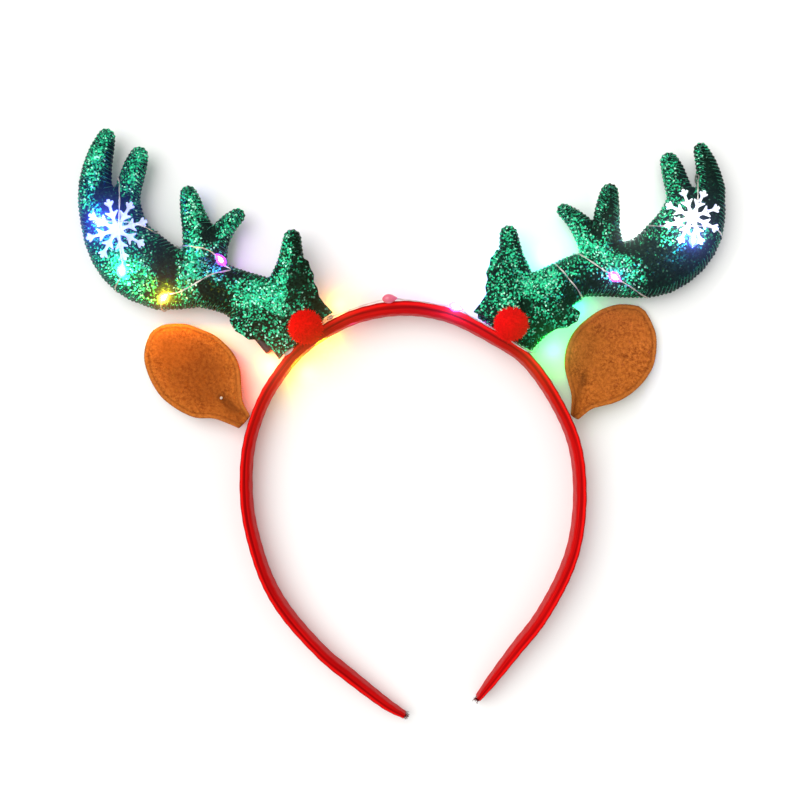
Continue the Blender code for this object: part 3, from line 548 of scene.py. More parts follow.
def smooth_path(rows, step):
    """Catmull-Rom through every column of a table, resampled about every step mm."""
    table = np.array([tuple(row) for row in rows], dtype=float)
    padded = np.vstack([2 * table[0] - table[1], table, 2 * table[-1] - table[-2]])
    gaps = np.linalg.norm(np.diff(table[:, :2], axis=0), axis=1)
    made = []
    for index, gap in enumerate(gaps):
        before, here, after, beyond = padded[index:index + 4]
        t = (np.arange(max(1, round(gap / step))) / max(1, round(gap / step)))[:, None]
        made.append(0.5 * (
            2 * here + (after - before) * t + (2 * before - 5 * here + 4 * after - beyond) * t ** 2
            + (3 * here - before - 3 * after + beyond) * t ** 3))
    return np.vstack(made + [table[-1:]])


def hoop_mesh():
    """The ribbon's section carried along the hoop: reach = across * (half thickness + gather).

    The fold attribute is painted light: 0.52 + a painted highlight at 0.5 across - painted
    shade at the middle and the rim.
    """
    rows = smooth_path(HOOP_ROWS, HOOP_STEP)
    ahead = np.gradient(rows[:, :2], axis=0)
    ahead /= np.linalg.norm(ahead, axis=1)[:, None]
    out = np.stack([-ahead[:, 1], ahead[:, 0]], -1)
    run = np.arange(len(rows)) * HOOP_STEP
    turn = np.arange(HOOP_SIDES) * 2 * math.pi / HOOP_SIDES
    section = smooth_path(HOOP_SECTION + HOOP_SECTION[:1], 0.02)
    section = evenly(section * (0.3, 1), 0.004) / (0.3, 1)
    pick = np.linspace(0, len(section) - 1, HOOP_SIDES + 1)[:-1].astype(int)
    across, height = section[pick].T
    gather = GATHER_DEPTH * np.sin(
        run[:, None] * 2 * math.pi / GATHER_LENGTH + 3 * np.sin(run / 11)[:, None] + 2 * turn)
    half = rows[:, 2:3] / 2 + gather
    reach = across * half
    rise = height * (rows[:, 3:4] - 0.1) + HOOP_FLOOR
    plan = rows[:, None, :2] + out[:, None] * reach[:, :, None]
    corners = np.concatenate([plan, np.maximum(rise, 0)[:, :, None]], 2)
    index = np.arange(corners.size // 3).reshape(corners.shape[:2])
    low, high = index[:-1], index[1:]
    walls = np.stack([low, np.roll(low, -1, 1), np.roll(high, -1, 1), high], -1).reshape(-1, 4)
    faces = walls.tolist() + [index[0, ::-1].tolist(), index[-1].tolist()]
    made = mesh_of("band_ribbon", corners.reshape(-1, 3), faces)
    lengthwise = np.repeat(run, HOOP_SIDES)
    on_top = height > 0.9
    # Painted highlight along the crest and painted shade in the middle groove and near the rim.
    fold = (0.52 + 0.48 * np.exp(-((across - 0.5) / 0.2) ** 2) * on_top
            - 0.28 * np.exp(-((across - 0.0) / 0.2) ** 2) * on_top
            - 0.40 * np.exp(-((across - 0.96) / 0.14) ** 2) * (height > 0.6))
    give_attribute(made, "fold", np.tile(fold, len(rows)))
    give_attribute(made, "run", lengthwise)
    give_attribute(made, "turn", np.tile(turn, len(rows)))
    return made, rows, ahead


def satin_finish():
    """Red satin: fine threads across the run, a soft sheen and faint length-wise tone lines."""
    made, tree, shader = finish(
        "satin_dressed", Metallic=0.12, Roughness=0.42, Specular_IOR_Level=0.04,
        Specular_Tint=(1.0, 0.08, 0.06, 1))
    run = place(tree, "ShaderNodeAttribute", attribute_name="run")
    turn = place(tree, "ShaderNodeAttribute", attribute_name="turn")
    where = place(tree, "ShaderNodeCombineXYZ", {
        "X": run.outputs["Fac"], "Y": turn.outputs["Fac"]})
    lines = place(tree, "ShaderNodeMapping", {
        "Vector": where.outputs[0], "Scale": (0.05, 7.0, 1.0)})
    tone = place(tree, "ShaderNodeTexNoise", {
        "Vector": lines.outputs[0], "Scale": 1.0, "Detail": 3.0})
    # The fold attribute mixes the dark and bright reds: a painted highlight on the crest and
    # painted shade in the groove and at the rim.
    fold = place(tree, "ShaderNodeAttribute", attribute_name="fold")
    faint = place(tree, "ShaderNodeMapRange", {
        "Value": tone.outputs["Fac"], "From Min": 0.3, "From Max": 0.7,
        "To Min": -0.16, "To Max": 0.16})
    share = place(tree, "ShaderNodeMath", {
        0: fold.outputs["Fac"], 1: faint.outputs["Result"]}, operation="ADD", use_clamp=True)
    red = place(tree, "ShaderNodeMix", {
        "Factor": share.outputs[0], 6: (0.13, 0.0003, 0.0015, 1), 7: (0.88, 0.008, 0.007, 1)},
        data_type="RGBA")
    tree.links.new(red.outputs[2], shader.inputs["Base Color"])
    threads = place(tree, "ShaderNodeMapping", {
        "Vector": where.outputs[0], "Scale": (9.0, 1.5, 1.0)})
    weave = place(tree, "ShaderNodeTexNoise", {
        "Vector": threads.outputs[0], "Scale": 1.0, "Detail": 2.0})
    relief = place(tree, "ShaderNodeBump", {
        "Height": weave.outputs["Fac"], "Strength": 0.25, "Distance": 0.0002})
    tree.links.new(relief.outputs[0], shader.inputs["Normal"])
    return made


satin = satin_finish()
band_mesh, hoop_path, hoop_ahead = hoop_mesh()
band = add_piece("band_ribbon", band_mesh, satin)
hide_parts("band")

fray_dice = np.random.default_rng(21)
fray_paths = []
for end, way in ((0, -1), (-1, 1)):
    tip = hoop_path[end]
    onward = np.append(hoop_ahead[end] * way, 0)
    side = np.array((-onward[1], onward[0], 0))
    root = (np.append(tip[:2], 0) + side * fray_dice.uniform(-0.7, 0.7, (FRAY_COUNT, 1))
            + (0, 0, 1) * fray_dice.uniform(0.4, tip[3] - 0.5, (FRAY_COUNT, 1)))
    length = fray_dice.uniform(0.3, 1, (FRAY_COUNT, 1, 1)) * FRAY_LENGTH
    bend = fray_dice.normal(scale=0.35, size=(FRAY_COUNT, 1, 3))
    far = np.linspace(-0.25, 1, 5)[:, None]
    strand = root[:, None] + length * far * onward + length * far ** 2 * bend
    strand[..., 2] = np.maximum(strand[..., 2], 0.1)
    fray_paths.append(strand)
fray_corners, fray_faces = tubes(np.concatenate(fray_paths), FRAY_RADIUS, 4)
add_piece(
    "band_frayed_ends", mesh_of("band_frayed_ends", fray_corners, fray_faces), satin)

# Ears
# Two layers of tan felt, dished, drooping at the tip and sewn together 1.6 mm inside the edge.
# They are pinched and sewn to the hoop, and a knot of pale thread holds the left one's fold.
# An ear's shade says how much painted shade darkens its dish.
Span = namedtuple("Span", "along left right")
Ear = namedtuple("Ear", "name x y heading shade rows")
EARS = [
    Ear("ear_left", -59.6, -40.6, 138.8, 1.0, [
        Span(-0.35, 3.2, 2.8), Span(5.0, 5.0, 4.9), Span(9.0, 6.8, 8.6),
        Span(13.7, 10.6, 13.0), Span(18.7, 12.5, 15.4), Span(23.8, 13.4, 16.1),
        Span(28.8, 13.5, 15.9), Span(34.2, 12.2, 14.2), Span(38.9, 10.1, 12.4),
        Span(42.8, 7.4, 9.4), Span(45.7, 3.4, 6.2), Span(47.2, -0.6, 2.6),
    ]),
    Ear("ear_right", 60.2, -38.2, 53.7, 0.0, [
        Span(-1.5, 2.0, 1.2), Span(4.0, 5.6, 2.8), Span(7.2, 9.3, 5.1),
        Span(10.8, 13.4, 8.1), Span(15.1, 16.3, 10.5), Span(20.2, 18.0, 12.1),
        Span(25.2, 18.2, 12.7), Span(30.6, 17.1, 12.2), Span(36.0, 15.0, 9.9),
        Span(40.7, 11.7, 6.4), Span(43.6, 8.0, 2.2), Span(45.4, 4.6, -1.6),
    ]),
]
EAR_FOLDS = {
    "ear_left": [Stroke(242, 416, 222, 398, 1.3, 1.0), Stroke(230, 412, 205, 400, 3.0, 0.5),
                 Stroke(205, 372, 200, 350, 6.5, 0.7)],
    "ear_right": [Stroke(572, 420, 586, 378, 1.6, 1.0), Stroke(584, 380, 596, 345, 3.6, 0.8),
                  Stroke(610, 370, 620, 340, 7.0, 0.5)],
}
EAR_HEIGHT = 6.3
EAR_CUP = 3.2
EAR_DROOP = 4.8
EAR_FELT = 1.25
EAR_DISH = 1.5
EAR_RIPPLE = 0.12
EAR_FRONT = 7
EAR_ACROSS = 110
EAR_STEP = 0.4
EAR_SEAM_AT = 1.6
EAR_SEAM_DEEP = 0.24
KNOT_AT = (221, 398)
KNOT_RADIUS = 0.42
KNOT_THREAD = 0.16
KNOT_TURNS = 15 / (2 * math.pi)


def ear_mesh(ear):
    """Front and back sheets: height = level + cup - droop +/- felt, dished inside the seam."""
    rows = smooth_path(ear.rows, EAR_STEP)
    angle = math.radians(ear.heading)
    along = np.array((math.cos(angle), math.sin(angle)))
    left = np.array((-along[1], along[0]))
    across = np.sin(np.linspace(-1, 1, EAR_ACROSS) * math.pi / 2)
    reach = (rows[:, 1:2] - rows[:, 2:3]) / 2 + across * (rows[:, 1:2] + rows[:, 2:3]) / 2
    plan = (np.array((ear.x, ear.y)) + rows[:, :1, None] * along + reach[:, :, None] * left)
    rim = evenly(np.vstack([plan[:, 0], plan[-1], plan[::-1, -1]]), 0.3)
    flat = plan.reshape(-1, 2)
    inset = np.linalg.norm(flat - rim[nearest(flat, rim)], axis=1).reshape(reach.shape)
    far = rows[:, :1] / rows[-1, 0]
    level = EAR_HEIGHT + EAR_CUP * across ** 2 * (1 - far) ** 2 - EAR_DROOP * far ** 2
    round_off = np.sqrt(np.clip(inset / 0.8, 0, 1) * (2 - np.clip(inset / 0.8, 0, 1)))
    seam = EAR_SEAM_DEEP * np.exp(-((inset - EAR_SEAM_AT) / 0.38) ** 2)
    dish = EAR_DISH * (1 - np.exp(-(np.maximum(inset - EAR_SEAM_AT, 0) / 5.0) ** 2))
    fold = sum(
        stroke.amount * stroke_weight(flat, stroke, EAR_FRONT) for stroke in EAR_FOLDS[ear.name])
    fold = fold.reshape(reach.shape) * np.clip(inset / 1.5, 0, 1)
    ripple = EAR_RIPPLE * np.sin(flat[:, 0] / 4.1 + 1) * np.sin(flat[:, 1] / 3.3)
    bulk = EAR_FELT * (0.25 + 0.75 * round_off)
    front = level + bulk - seam - dish - fold + ripple.reshape(reach.shape)
    back = level - bulk + 0.6 * seam - 0.5 * dish - 0.5 * fold
    index = np.arange(front.size).reshape(front.shape)
    top = np.stack([
        index[:-1, :-1], index[:-1, 1:], index[1:, 1:], index[1:, :-1]], -1).reshape(-1, 4)
    edge = np.concatenate([
        index[0, :], index[1:, -1], index[-1, -2::-1], index[-2:0:-1, 0]])
    after = np.roll(edge, -1)
    walls = np.stack([edge, edge + front.size, after + front.size, after], -1)
    heights = np.concatenate([front.ravel(), back.ravel()])
    corners = np.column_stack([np.vstack([flat, flat]), heights])
    faces = np.concatenate([top[:, ::-1], top + front.size, walls])
    made = mesh_of(ear.name + "_felt", corners, faces.tolist())
    shape = bmesh.new()
    shape.from_mesh(made)
    bmesh.ops.recalc_face_normals(shape, faces=shape.faces)
    shape.to_mesh(made)
    shape.free()
    # Paler towards the edge, in a band about 0.7 mm in from it.
    lighter_near_edge = np.tile(np.exp(-((inset - 0.7) / 0.7) ** 2).ravel(), 2)
    # Painted shade along the fold's crease, joined with the seam's dark line in one attribute.
    crease = 1.5 * np.clip(fold / fold.max(), 0, 1) ** 2
    seam_and_painted_crease_shade = np.maximum(np.exp(-((inset - EAR_SEAM_AT) / 0.3) ** 2), crease)
    give_attribute(made, "rim", lighter_near_edge)
    # Painted shade in the dish, strongest in the middle; the right ear has none.
    deep = ear.shade * (1 - np.exp(-(inset / 5.5) ** 2))
    give_attribute(made, "deep", np.tile(deep.ravel(), 2))
    give_attribute(made, "seam", np.tile(seam_and_painted_crease_shade.ravel(), 2))
    return made


def felt_finish():
    """Tan felt: short fibres every way, lighter on the rim, darker in the seam.

    It also carries painted shade in the dish and along the ear's crease.
    """
    made, tree, shader = finish(
        "felt_dressed", Roughness=0.95, Specular_IOR_Level=0.05)
    where = place(tree, "ShaderNodeTexCoord")
    fibres = place(tree, "ShaderNodeTexNoise", {
        "Vector": where.outputs["Object"], "Scale": 900.0, "Detail": 5.0, "Roughness": 0.75})
    clouds = place(tree, "ShaderNodeTexNoise", {
        "Vector": where.outputs["Object"], "Scale": 150.0, "Detail": 3.0})
    speck = place(tree, "ShaderNodeMapRange", {
        "Value": fibres.outputs["Fac"], "From Min": 0.38, "From Max": 0.62})
    base = place(tree, "ShaderNodeMix", {
        "Factor": speck.outputs["Result"], 6: (0.20, 0.040, 0.0045, 1),
        7: (0.56, 0.160, 0.0225, 1)}, data_type="RGBA")
    cloud_share = place(tree, "ShaderNodeMapRange", {
        "Value": clouds.outputs["Fac"], "From Min": 0.35, "From Max": 0.65, "To Max": 0.5})
    cloudy = place(tree, "ShaderNodeMix", {
        "Factor": cloud_share.outputs["Result"], 6: base.outputs[2], 7: (0.46, 0.125, 0.016, 1)},
        data_type="RGBA")
    # Painted shade in the dish: pulls the felt towards a dark brown.
    deep = place(tree, "ShaderNodeAttribute", attribute_name="deep")
    painted_dish_shade_share = place(tree, "ShaderNodeMath", {
        0: deep.outputs["Fac"], 1: 0.6}, operation="MULTIPLY")
    painted_dish_shaded = place(tree, "ShaderNodeMix", {
        "Factor": painted_dish_shade_share.outputs[0], 6: cloudy.outputs[2], 7: (0.17, 0.036, 0.004, 1)},
        data_type="RGBA")
    rim = place(tree, "ShaderNodeAttribute", attribute_name="rim")
    rim_share = place(tree, "ShaderNodeMath", {
        0: rim.outputs["Fac"], 1: 0.3}, operation="MULTIPLY")
    paler = place(tree, "ShaderNodeMix", {
        "Factor": rim_share.outputs[0], 6: painted_dish_shaded.outputs[2], 7: (0.50, 0.175, 0.035, 1)},
        data_type="RGBA")
    # The seam attribute darkens the seam's line and lays painted shade along the crease.
    seam = place(tree, "ShaderNodeAttribute", attribute_name="seam")
    seam_share = place(tree, "ShaderNodeMath", {
        0: seam.outputs["Fac"], 1: 0.38}, operation="MULTIPLY")
    darker = place(tree, "ShaderNodeMix", {
        "Factor": seam_share.outputs[0], 6: paler.outputs[2], 7: (0.13, 0.030, 0.004, 1)},
        data_type="RGBA")
    tree.links.new(darker.outputs[2], shader.inputs["Base Color"])
    relief = place(tree, "ShaderNodeBump", {
        "Height": fibres.outputs["Fac"], "Strength": 0.7, "Distance": 0.0003})
    tree.links.new(relief.outputs[0], shader.inputs["Normal"])
    return made


felt = felt_finish()
pale_thread, _, pale_shader = finish("thread_dressed", Roughness=0.8)
pale_shader.inputs["Base Color"].default_value = (0.72, 0.62, 0.54, 1)


def thread_knot(name, skin):
    """A coil on the felt: radius shrinks to half while it rises by its own radius."""
    x, y = under(*KNOT_AT, EAR_HEIGHT)
    points, _ = corners_of(skin)
    close = np.hypot(points[:, 0] - x, points[:, 1] - y) < KNOT_RADIUS
    wound = np.linspace(0, 1, 36)
    turn = wound * KNOT_TURNS * 2 * math.pi
    coil = np.column_stack([
        x + KNOT_RADIUS * (1 - wound / 2) * np.cos(turn),
        y + KNOT_RADIUS * (1 - wound / 2) * np.sin(turn),
        points[close, 2].max() + 0.1 + wound * KNOT_RADIUS])
    add_piece(name, mesh_of(name, *tubes(coil[None], KNOT_THREAD, 6)), pale_thread)


for ear in EARS:
    made = add_piece(ear.name + "_felt", ear_mesh(ear), felt)
    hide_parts(ear.name)
    if ear.name == "ear_left":
        thread_knot("ear_left_knot", made.data)

# Pom-poms
# Balls of cut red yarn, trimmed round, glued over the place where the leaves meet.
Ball = namedtuple("Ball", "name x y z radius")
BALLS = [
    Ball("pompom_left", -36.6, -7.7, 21.8, 5.6), Ball("pompom_right", 35.2, -6.7, 21.8, 5.5)]
FIBRES = 6500
FIBRE_RADIUS = 0.085
FIBRE_START = 0.7
FIBRE_DRIFT = 0.09
CORE_SHARE = 0.9


def yarn_finish():
    """Red yarn: each fibre a little lighter or darker than the next."""
    made, tree, shader = finish(
        "yarn_dressed", Roughness=0.9, Specular_IOR_Level=0.0)
    where = place(tree, "ShaderNodeTexCoord")
    patches = place(tree, "ShaderNodeTexNoise", {
        "Vector": where.outputs["Object"], "Scale": 1300.0, "Detail": 2.0})
    red = place(tree, "ShaderNodeMix", {
        "Factor": patches.outputs["Fac"], 6: (0.86, 0.001, 0.003, 1), 7: (1.0, 0.004, 0.006, 1)},
        data_type="RGBA")
    tree.links.new(red.outputs[2], shader.inputs["Base Color"])
    return made


yarn = yarn_finish()


def fibre_ball(ball, seed):
    """Fibres on a golden spiral of directions, from FIBRE_START out, each bent a bit."""
    dice = np.random.default_rng(seed)
    count = np.arange(FIBRES)
    height = 1 - 2 * (count + 0.5) / FIBRES
    turn = count * math.pi * (3 - math.sqrt(5))
    flat = np.sqrt(1 - height ** 2)
    way = np.stack([flat * np.cos(turn), flat * np.sin(turn), height], -1)
    long = ball.radius * dice.uniform(0.93, 1.04, (FIBRES, 1, 1))
    drift = dice.normal(scale=FIBRE_DRIFT * ball.radius, size=(FIBRES, 1, 3))
    out = np.linspace(FIBRE_START, 1, 4)[:, None]
    bend = ((out - FIBRE_START) / (1 - FIBRE_START)) ** 2
    middle = np.array((ball.x, ball.y, ball.z))
    paths = middle + way[:, None] * long * out + drift * bend
    corners, faces = tubes(paths, FIBRE_RADIUS * np.array((1.6, 1.5, 1.2, 0.6)), 3)
    piece = add_piece(
        ball.name + "_fibres", mesh_of(ball.name + "_fibres", corners, faces), yarn)
    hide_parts(ball.name)
    shape = bmesh.new()
    bmesh.ops.create_icosphere(shape, subdivisions=4, radius=ball.radius * CORE_SHARE * MM)
    bmesh.ops.translate(shape, vec=middle * MM, verts=shape.verts)
    core = bpy.data.meshes.new(ball.name + "_core")
    shape.to_mesh(core)
    shape.free()
    add_piece(ball.name + "_core", core, yarn)


for seed, ball in enumerate(BALLS):
    fibre_ball(ball, seed + 31)

# Snowflake sequins
# Thin pearly plastic punched to eight branched arms, with an embossed lighter edge.
FLAKE_FLOOR = 13.55
FLAKE_THICK = 0.5
FLAKE_BEVEL = 0.12
Branch = namedtuple("Branch", "along across")
FLAKE_ARM = [
    Branch(0.20, 0.083), Branch(0.27, 0.060), Branch(0.36, 0.052), Branch(0.43, 0.088),
    Branch(0.52, 0.165), Branch(0.575, 0.208), Branch(0.600, 0.190), Branch(0.590, 0.140),
    Branch(0.565, 0.080), Branch(0.590, 0.050), Branch(0.66, 0.043), Branch(0.75, 0.046),
    Branch(0.80, 0.085), Branch(0.855, 0.135), Branch(0.895, 0.150), Branch(0.925, 0.130),
    Branch(0.918, 0.088), Branch(0.905, 0.058), Branch(0.935, 0.060), Branch(0.975, 0.052),
    Branch(0.998, 0.020),
]
Flake = namedtuple("Flake", "name x y radius turn")
FLAKES = [
    Flake("snowflake_left", -104.4, 27.4, 11.3, 16.0),
    Flake("snowflake_right", 100.3, 32.0, 10.4, 19.0),
]
FLAKE_ARMS = 8


def pearl_finish():
    """Pearly plastic: white with a lavender and green drift, a thin film and a clear coat."""
    made, tree, shader = finish(
        "pearl_dressed", Roughness=0.28, Coat_Weight=0.6, Thin_Film_Thickness=380.0,
        IOR=1.45, Alpha=0.66)
    where = place(tree, "ShaderNodeTexCoord")
    drift = place(tree, "ShaderNodeTexNoise", {
        "Vector": where.outputs["Object"], "Scale": 190.0, "Detail": 1.0})
    tint = place(tree, "ShaderNodeMix", {
        "Factor": drift.outputs["Fac"], 6: (0.62, 0.62, 0.95, 1), 7: (0.84, 0.92, 0.94, 1)},
        data_type="RGBA")
    tree.links.new(tint.outputs[2], shader.inputs["Base Color"])
    return made


pearl = pearl_finish()


def punched_flake(flake):
    """One arm's half outline, kept on its side of the gap, mirrored, turned, made a sheet."""
    half = smooth_path(FLAKE_ARM, 0.02)
    half[:, 1] = np.minimum(half[:, 1], half[:, 0] * math.tan(math.pi / FLAKE_ARMS))
    edge = np.vstack([half * (1, -1), half[::-1]])
    turns = np.radians(flake.turn + np.arange(FLAKE_ARMS) * 360 / FLAKE_ARMS)
    ways = np.stack([np.cos(turns), np.sin(turns)], -1)
    lefts = np.stack([-np.sin(turns), np.cos(turns)], -1)
    outline = (ways[:, None] * edge[None, :, :1] + lefts[:, None] * edge[None, :, 1:])
    plan = outline * flake.radius + (flake.x, flake.y)
    shape = bmesh.new()
    middle = shape.verts.new((flake.x * MM, flake.y * MM, FLAKE_FLOOR * MM))
    for arm in plan:
        ring = [shape.verts.new((x * MM, y * MM, FLAKE_FLOOR * MM)) for x, y in arm]
        shape.faces.new([middle, *ring])
    bmesh.ops.remove_doubles(shape, verts=list(shape.verts), dist=0.01 * MM)
    raised = bmesh.ops.extrude_face_region(shape, geom=list(shape.faces))["geom"]
    lifted = [part for part in raised if isinstance(part, bmesh.types.BMVert)]
    bmesh.ops.translate(shape, vec=(0, 0, FLAKE_THICK * MM), verts=lifted)
    bmesh.ops.recalc_face_normals(shape, faces=shape.faces)
    above = (FLAKE_FLOOR + 0.75 * FLAKE_THICK) * MM
    top = [face for face in shape.faces if face.calc_center_median().z > above]
    bmesh.ops.inset_region(
        shape, faces=top, thickness=FLAKE_BEVEL * MM * 2, depth=-FLAKE_BEVEL * MM)
    made = bpy.data.meshes.new(flake.name + "_sequin")
    shape.to_mesh(made)
    shape.free()
    piece = add_piece(flake.name + "_sequin", made, pearl)
    made.set_sharp_from_angle(angle=math.radians(35))
    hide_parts(flake.name)


for flake in FLAKES:
    punched_flake(flake)

# Light string
# Silver two-strand wire wound round the antlers and along the hoop, with a resin drop over
# each small light. The drops' own light falls on the glitter, the felt and the floor.
DROP_LENGTH = 5.4
DROP_WIDTH = 3.4
DROP_HEIGHT = 3.2
CHIP_SIZE = (2.5, 1.4, 1.2)
DROP_RINGS = 27
DROP_SIDES = 24
LAMP_OVER_DROP = 0.3
LAMP_RADIUS = 0.8
SEAT_GAP = 0.35
WIRE_CLEAR = 0.36
STRAND_RADIUS = 0.125
STRAND_APART = 0.15
STRAND_PITCH = 11.0
WIRE_STEP = 0.5
WIRE_PASS = 0.85
OVER_FLAKE = FLAKE_FLOOR + FLAKE_THICK + 0.5
DROP_OVER_FLAKE = FLAKE_FLOOR + FLAKE_THICK + DROP_WIDTH / 2 + SEAT_GAP
ON_HOOP = 13.1
HUG_REACH = 3.5
Light = namedtuple("Light", "name glow core power lamp")
LIGHTS = {
    light.name: light for light in (
        Light("light_left_yellow", (1.0, 0.52, 0.02), (1.0, 0.92, 0.55), 34.0, 0.0340),
        Light("light_left_purple", (0.50, 0.03, 1.0), (1.0, 0.80, 1.0), 10.0, 0.0030),
        Light("light_left_teal", (0.06, 1.0, 0.60), (0.90, 1.0, 0.97), 40.0, 0.0070),
        Light("light_left_blue", (0.02, 0.05, 1.0), (0.90, 0.95, 1.0), 40.0, 0.0460),
        Light("light_crown_clear", (0.76, 0.07, 0.15), (1.0, 0.4, 0.45), 0.0, 0.0),
        Light("light_crown_purple", (0.40, 0.06, 1.0), (0.95, 0.88, 1.0), 36.0, 0.0060),
        Light("light_right_green", (0.03, 1.0, 0.08), (0.6, 1.0, 0.75), 4.0, 0.006),
        Light("light_right_pink", (0.55, 0.05, 1.0), (1.0, 0.90, 1.0), 20.0, 0.0028),
        Light("light_right_blue", (0.02, 0.06, 1.0), (0.88, 0.96, 1.0), 34.0, 0.0190),
    )
}
Stop = namedtuple("Stop", "x y lie drop")
LEFT_STRING = [
    Stop(-53.4, -4.4, "back", None), Stop(-66.0, 4.0, "back", None),
    Stop(-80.0, 6.5, "back", None), Stop(-89.4, -1.6, "edge", None),
    Stop(-87.6, 3.4, "front", "light_left_yellow"), Stop(-81.5, 5.6, "front", None),
    Stop(-71.0, 11.6, "front", None), Stop(-66.6, 12.9, "front", None),
    Stop(-63.6, 13.9, "front", None), Stop(-67.6, 17.0, "front", "light_left_purple"),
    Stop(-72.4, 20.6, "front", None), Stop(-84.0, 22.0, "edge", None),
    Stop(-92.0, 15.0, "back", None), Stop(-101.0, 9.0, "back", None),
    Stop(-106.4, 5.6, "edge", None), Stop(-104.4, 9.2, "front", None),
    Stop(-102.4, 13.0, "front", "light_left_teal"), Stop(-103.0, 21.0, OVER_FLAKE, None),
    Stop(-103.4, 29.0, OVER_FLAKE, None), Stop(-103.2, 38.0, OVER_FLAKE, None),
    Stop(-105.6, 47.6, "edge", None), Stop(-104.0, 37.5, "back", None),
    Stop(-98.0, 30.0, "back", None), Stop(-90.6, 27.0, "edge", None),
    Stop(-93.4, 28.0, OVER_FLAKE, None), Stop(-98.4, 29.8, OVER_FLAKE, None),
    Stop(-103.6, 30.2, OVER_FLAKE + WIRE_PASS, None),
    Stop(-109.8, 30.0, DROP_OVER_FLAKE, "light_left_blue"),
]
RIGHT_STRING = [
    Stop(-27.6, -3.2, ON_HOOP, None), Stop(-18.0, 0.2, ON_HOOP, None),
    Stop(-12.0, 2.0, ON_HOOP, None), Stop(-7.2, 2.9, 14.2, "light_crown_clear"),
    Stop(-1.6, 2.6, ON_HOOP, None), Stop(6.0, 1.6, ON_HOOP, None),
    Stop(11.4, 0.6, ON_HOOP, None), Stop(16.4, -0.1, 14.0, "light_crown_purple"),
    Stop(21.0, -3.0, ON_HOOP, None), Stop(26.0, -5.8, ON_HOOP, None),
    Stop(32.0, -9.2, ON_HOOP, None), Stop(39.0, -14.2, ON_HOOP, None),
    Stop(43.0, -16.2, ON_HOOP, None), Stop(45.8, -15.8, 9.0, None),
    Stop(46.6, -12.8, 4.4, None), Stop(47.6, -9.4, 3.2, None),
    Stop(50.4, -4.0, 3.0, "light_right_green"), Stop(56.0, -1.0, 2.6, None),
    Stop(61.6, 2.6, "edge", None), Stop(57.5, 9.0, "front", None),
    Stop(51.2, 16.2, "edge", None), Stop(56.0, 12.0, "back", None),
    Stop(60.6, 14.5, "back", None), Stop(58.6, 20.4, "edge", None),
    Stop(66.0, 15.4, "front", None), Stop(72.8, 10.4, "front", "light_right_pink"),
    Stop(79.0, 7.0, "front", None), Stop(85.5, 3.4, "edge", None),
    Stop(84.0, 12.0, "back", None), Stop(85.0, 22.0, "back", None),
    Stop(86.0, 28.8, "edge", None), Stop(89.0, 28.4, OVER_FLAKE, None),
    Stop(93.4, 29.2, OVER_FLAKE, None), Stop(99.8, 28.6, OVER_FLAKE, None),
    Stop(105.0, 28.6, OVER_FLAKE, None), Stop(110.4, 26.6, OVER_FLAKE, None),
    Stop(113.0, 24.6, "edge", None), Stop(108.0, 35.0, "back", None),
    Stop(102.6, 48.0, "edge", None), Stop(102.2, 42.6, OVER_FLAKE, None),
    Stop(102.0, 34.6, OVER_FLAKE + WIRE_PASS / 2, None),
    Stop(101.4, 28.8, OVER_FLAKE + WIRE_PASS, None),
    Stop(100.3, 23.2, DROP_OVER_FLAKE, "light_right_blue"),
]


def wire_finish():
    """Bright silver wire under a clear lacquer that yellows it a little in places."""
    made, tree, shader = finish("silver_wire_dressed", Metallic=0.9, Roughness=0.28)
    where = place(tree, "ShaderNodeTexCoord")
    drift = place(tree, "ShaderNodeTexNoise", {
        "Vector": where.outputs["Object"], "Scale": 320.0, "Detail": 1.0})
    tint = place(tree, "ShaderNodeMix", {
        "Factor": drift.outputs["Fac"], 6: (0.50, 0.47, 0.44, 1), 7: (0.88, 0.82, 0.74, 1)},
        data_type="RGBA")
    tree.links.new(tint.outputs[2], shader.inputs["Base Color"])
    return made


def drop_finish(light):
    """Clear resin with a little of its light's colour; the unlit one is tinted through."""
    made, tree, shader = finish(
        light.name + "_resin", Roughness=0.1, IOR=1.5, Coat_Weight=0.5,
        Alpha=0.4 if light.power else 0.92, Emission_Color=(*light.glow, 1),
        Emission_Strength=0.06 * light.power)
    where = place(tree, "ShaderNodeTexCoord")
    cloud = place(tree, "ShaderNodeTexNoise", {
        "Vector": where.outputs["Object"], "Scale": 600.0})
    paler = tuple(0.85 * value + 0.12 for value in light.glow)
    tint = place(tree, "ShaderNodeMix", {
        "Factor": cloud.outputs["Fac"], 6: (*light.glow, 1), 7: (*paler, 1)}, data_type="RGBA")
    tree.links.new(tint.outputs[2], shader.inputs["Base Color"])
    return made


def chip_finish(light):
    """The lit chip inside a drop, nearly white."""
    made, tree, shader = finish(
        light.name + "_chip", Emission_Color=(*light.core, 1), Emission_Strength=light.power)
    where = place(tree, "ShaderNodeTexCoord")
    cloud = place(tree, "ShaderNodeTexNoise", {
        "Vector": where.outputs["Object"], "Scale": 900.0})
    tint = place(tree, "ShaderNodeMix", {
        "Factor": cloud.outputs["Fac"], 6: (*light.core, 1), 7: (1, 1, 1, 1)}, data_type="RGBA")
    tree.links.new(tint.outputs[2], shader.inputs["Base Color"])
    return made


wire_silver = wire_finish()


def cover(meshes):
    """Corners and normals of several meshes together, for a wire to lie on."""
    pairs = [corners_of(mesh) for mesh in meshes]
    return np.vstack([points for points, _ in pairs]), np.vstack([up for _, up in pairs])


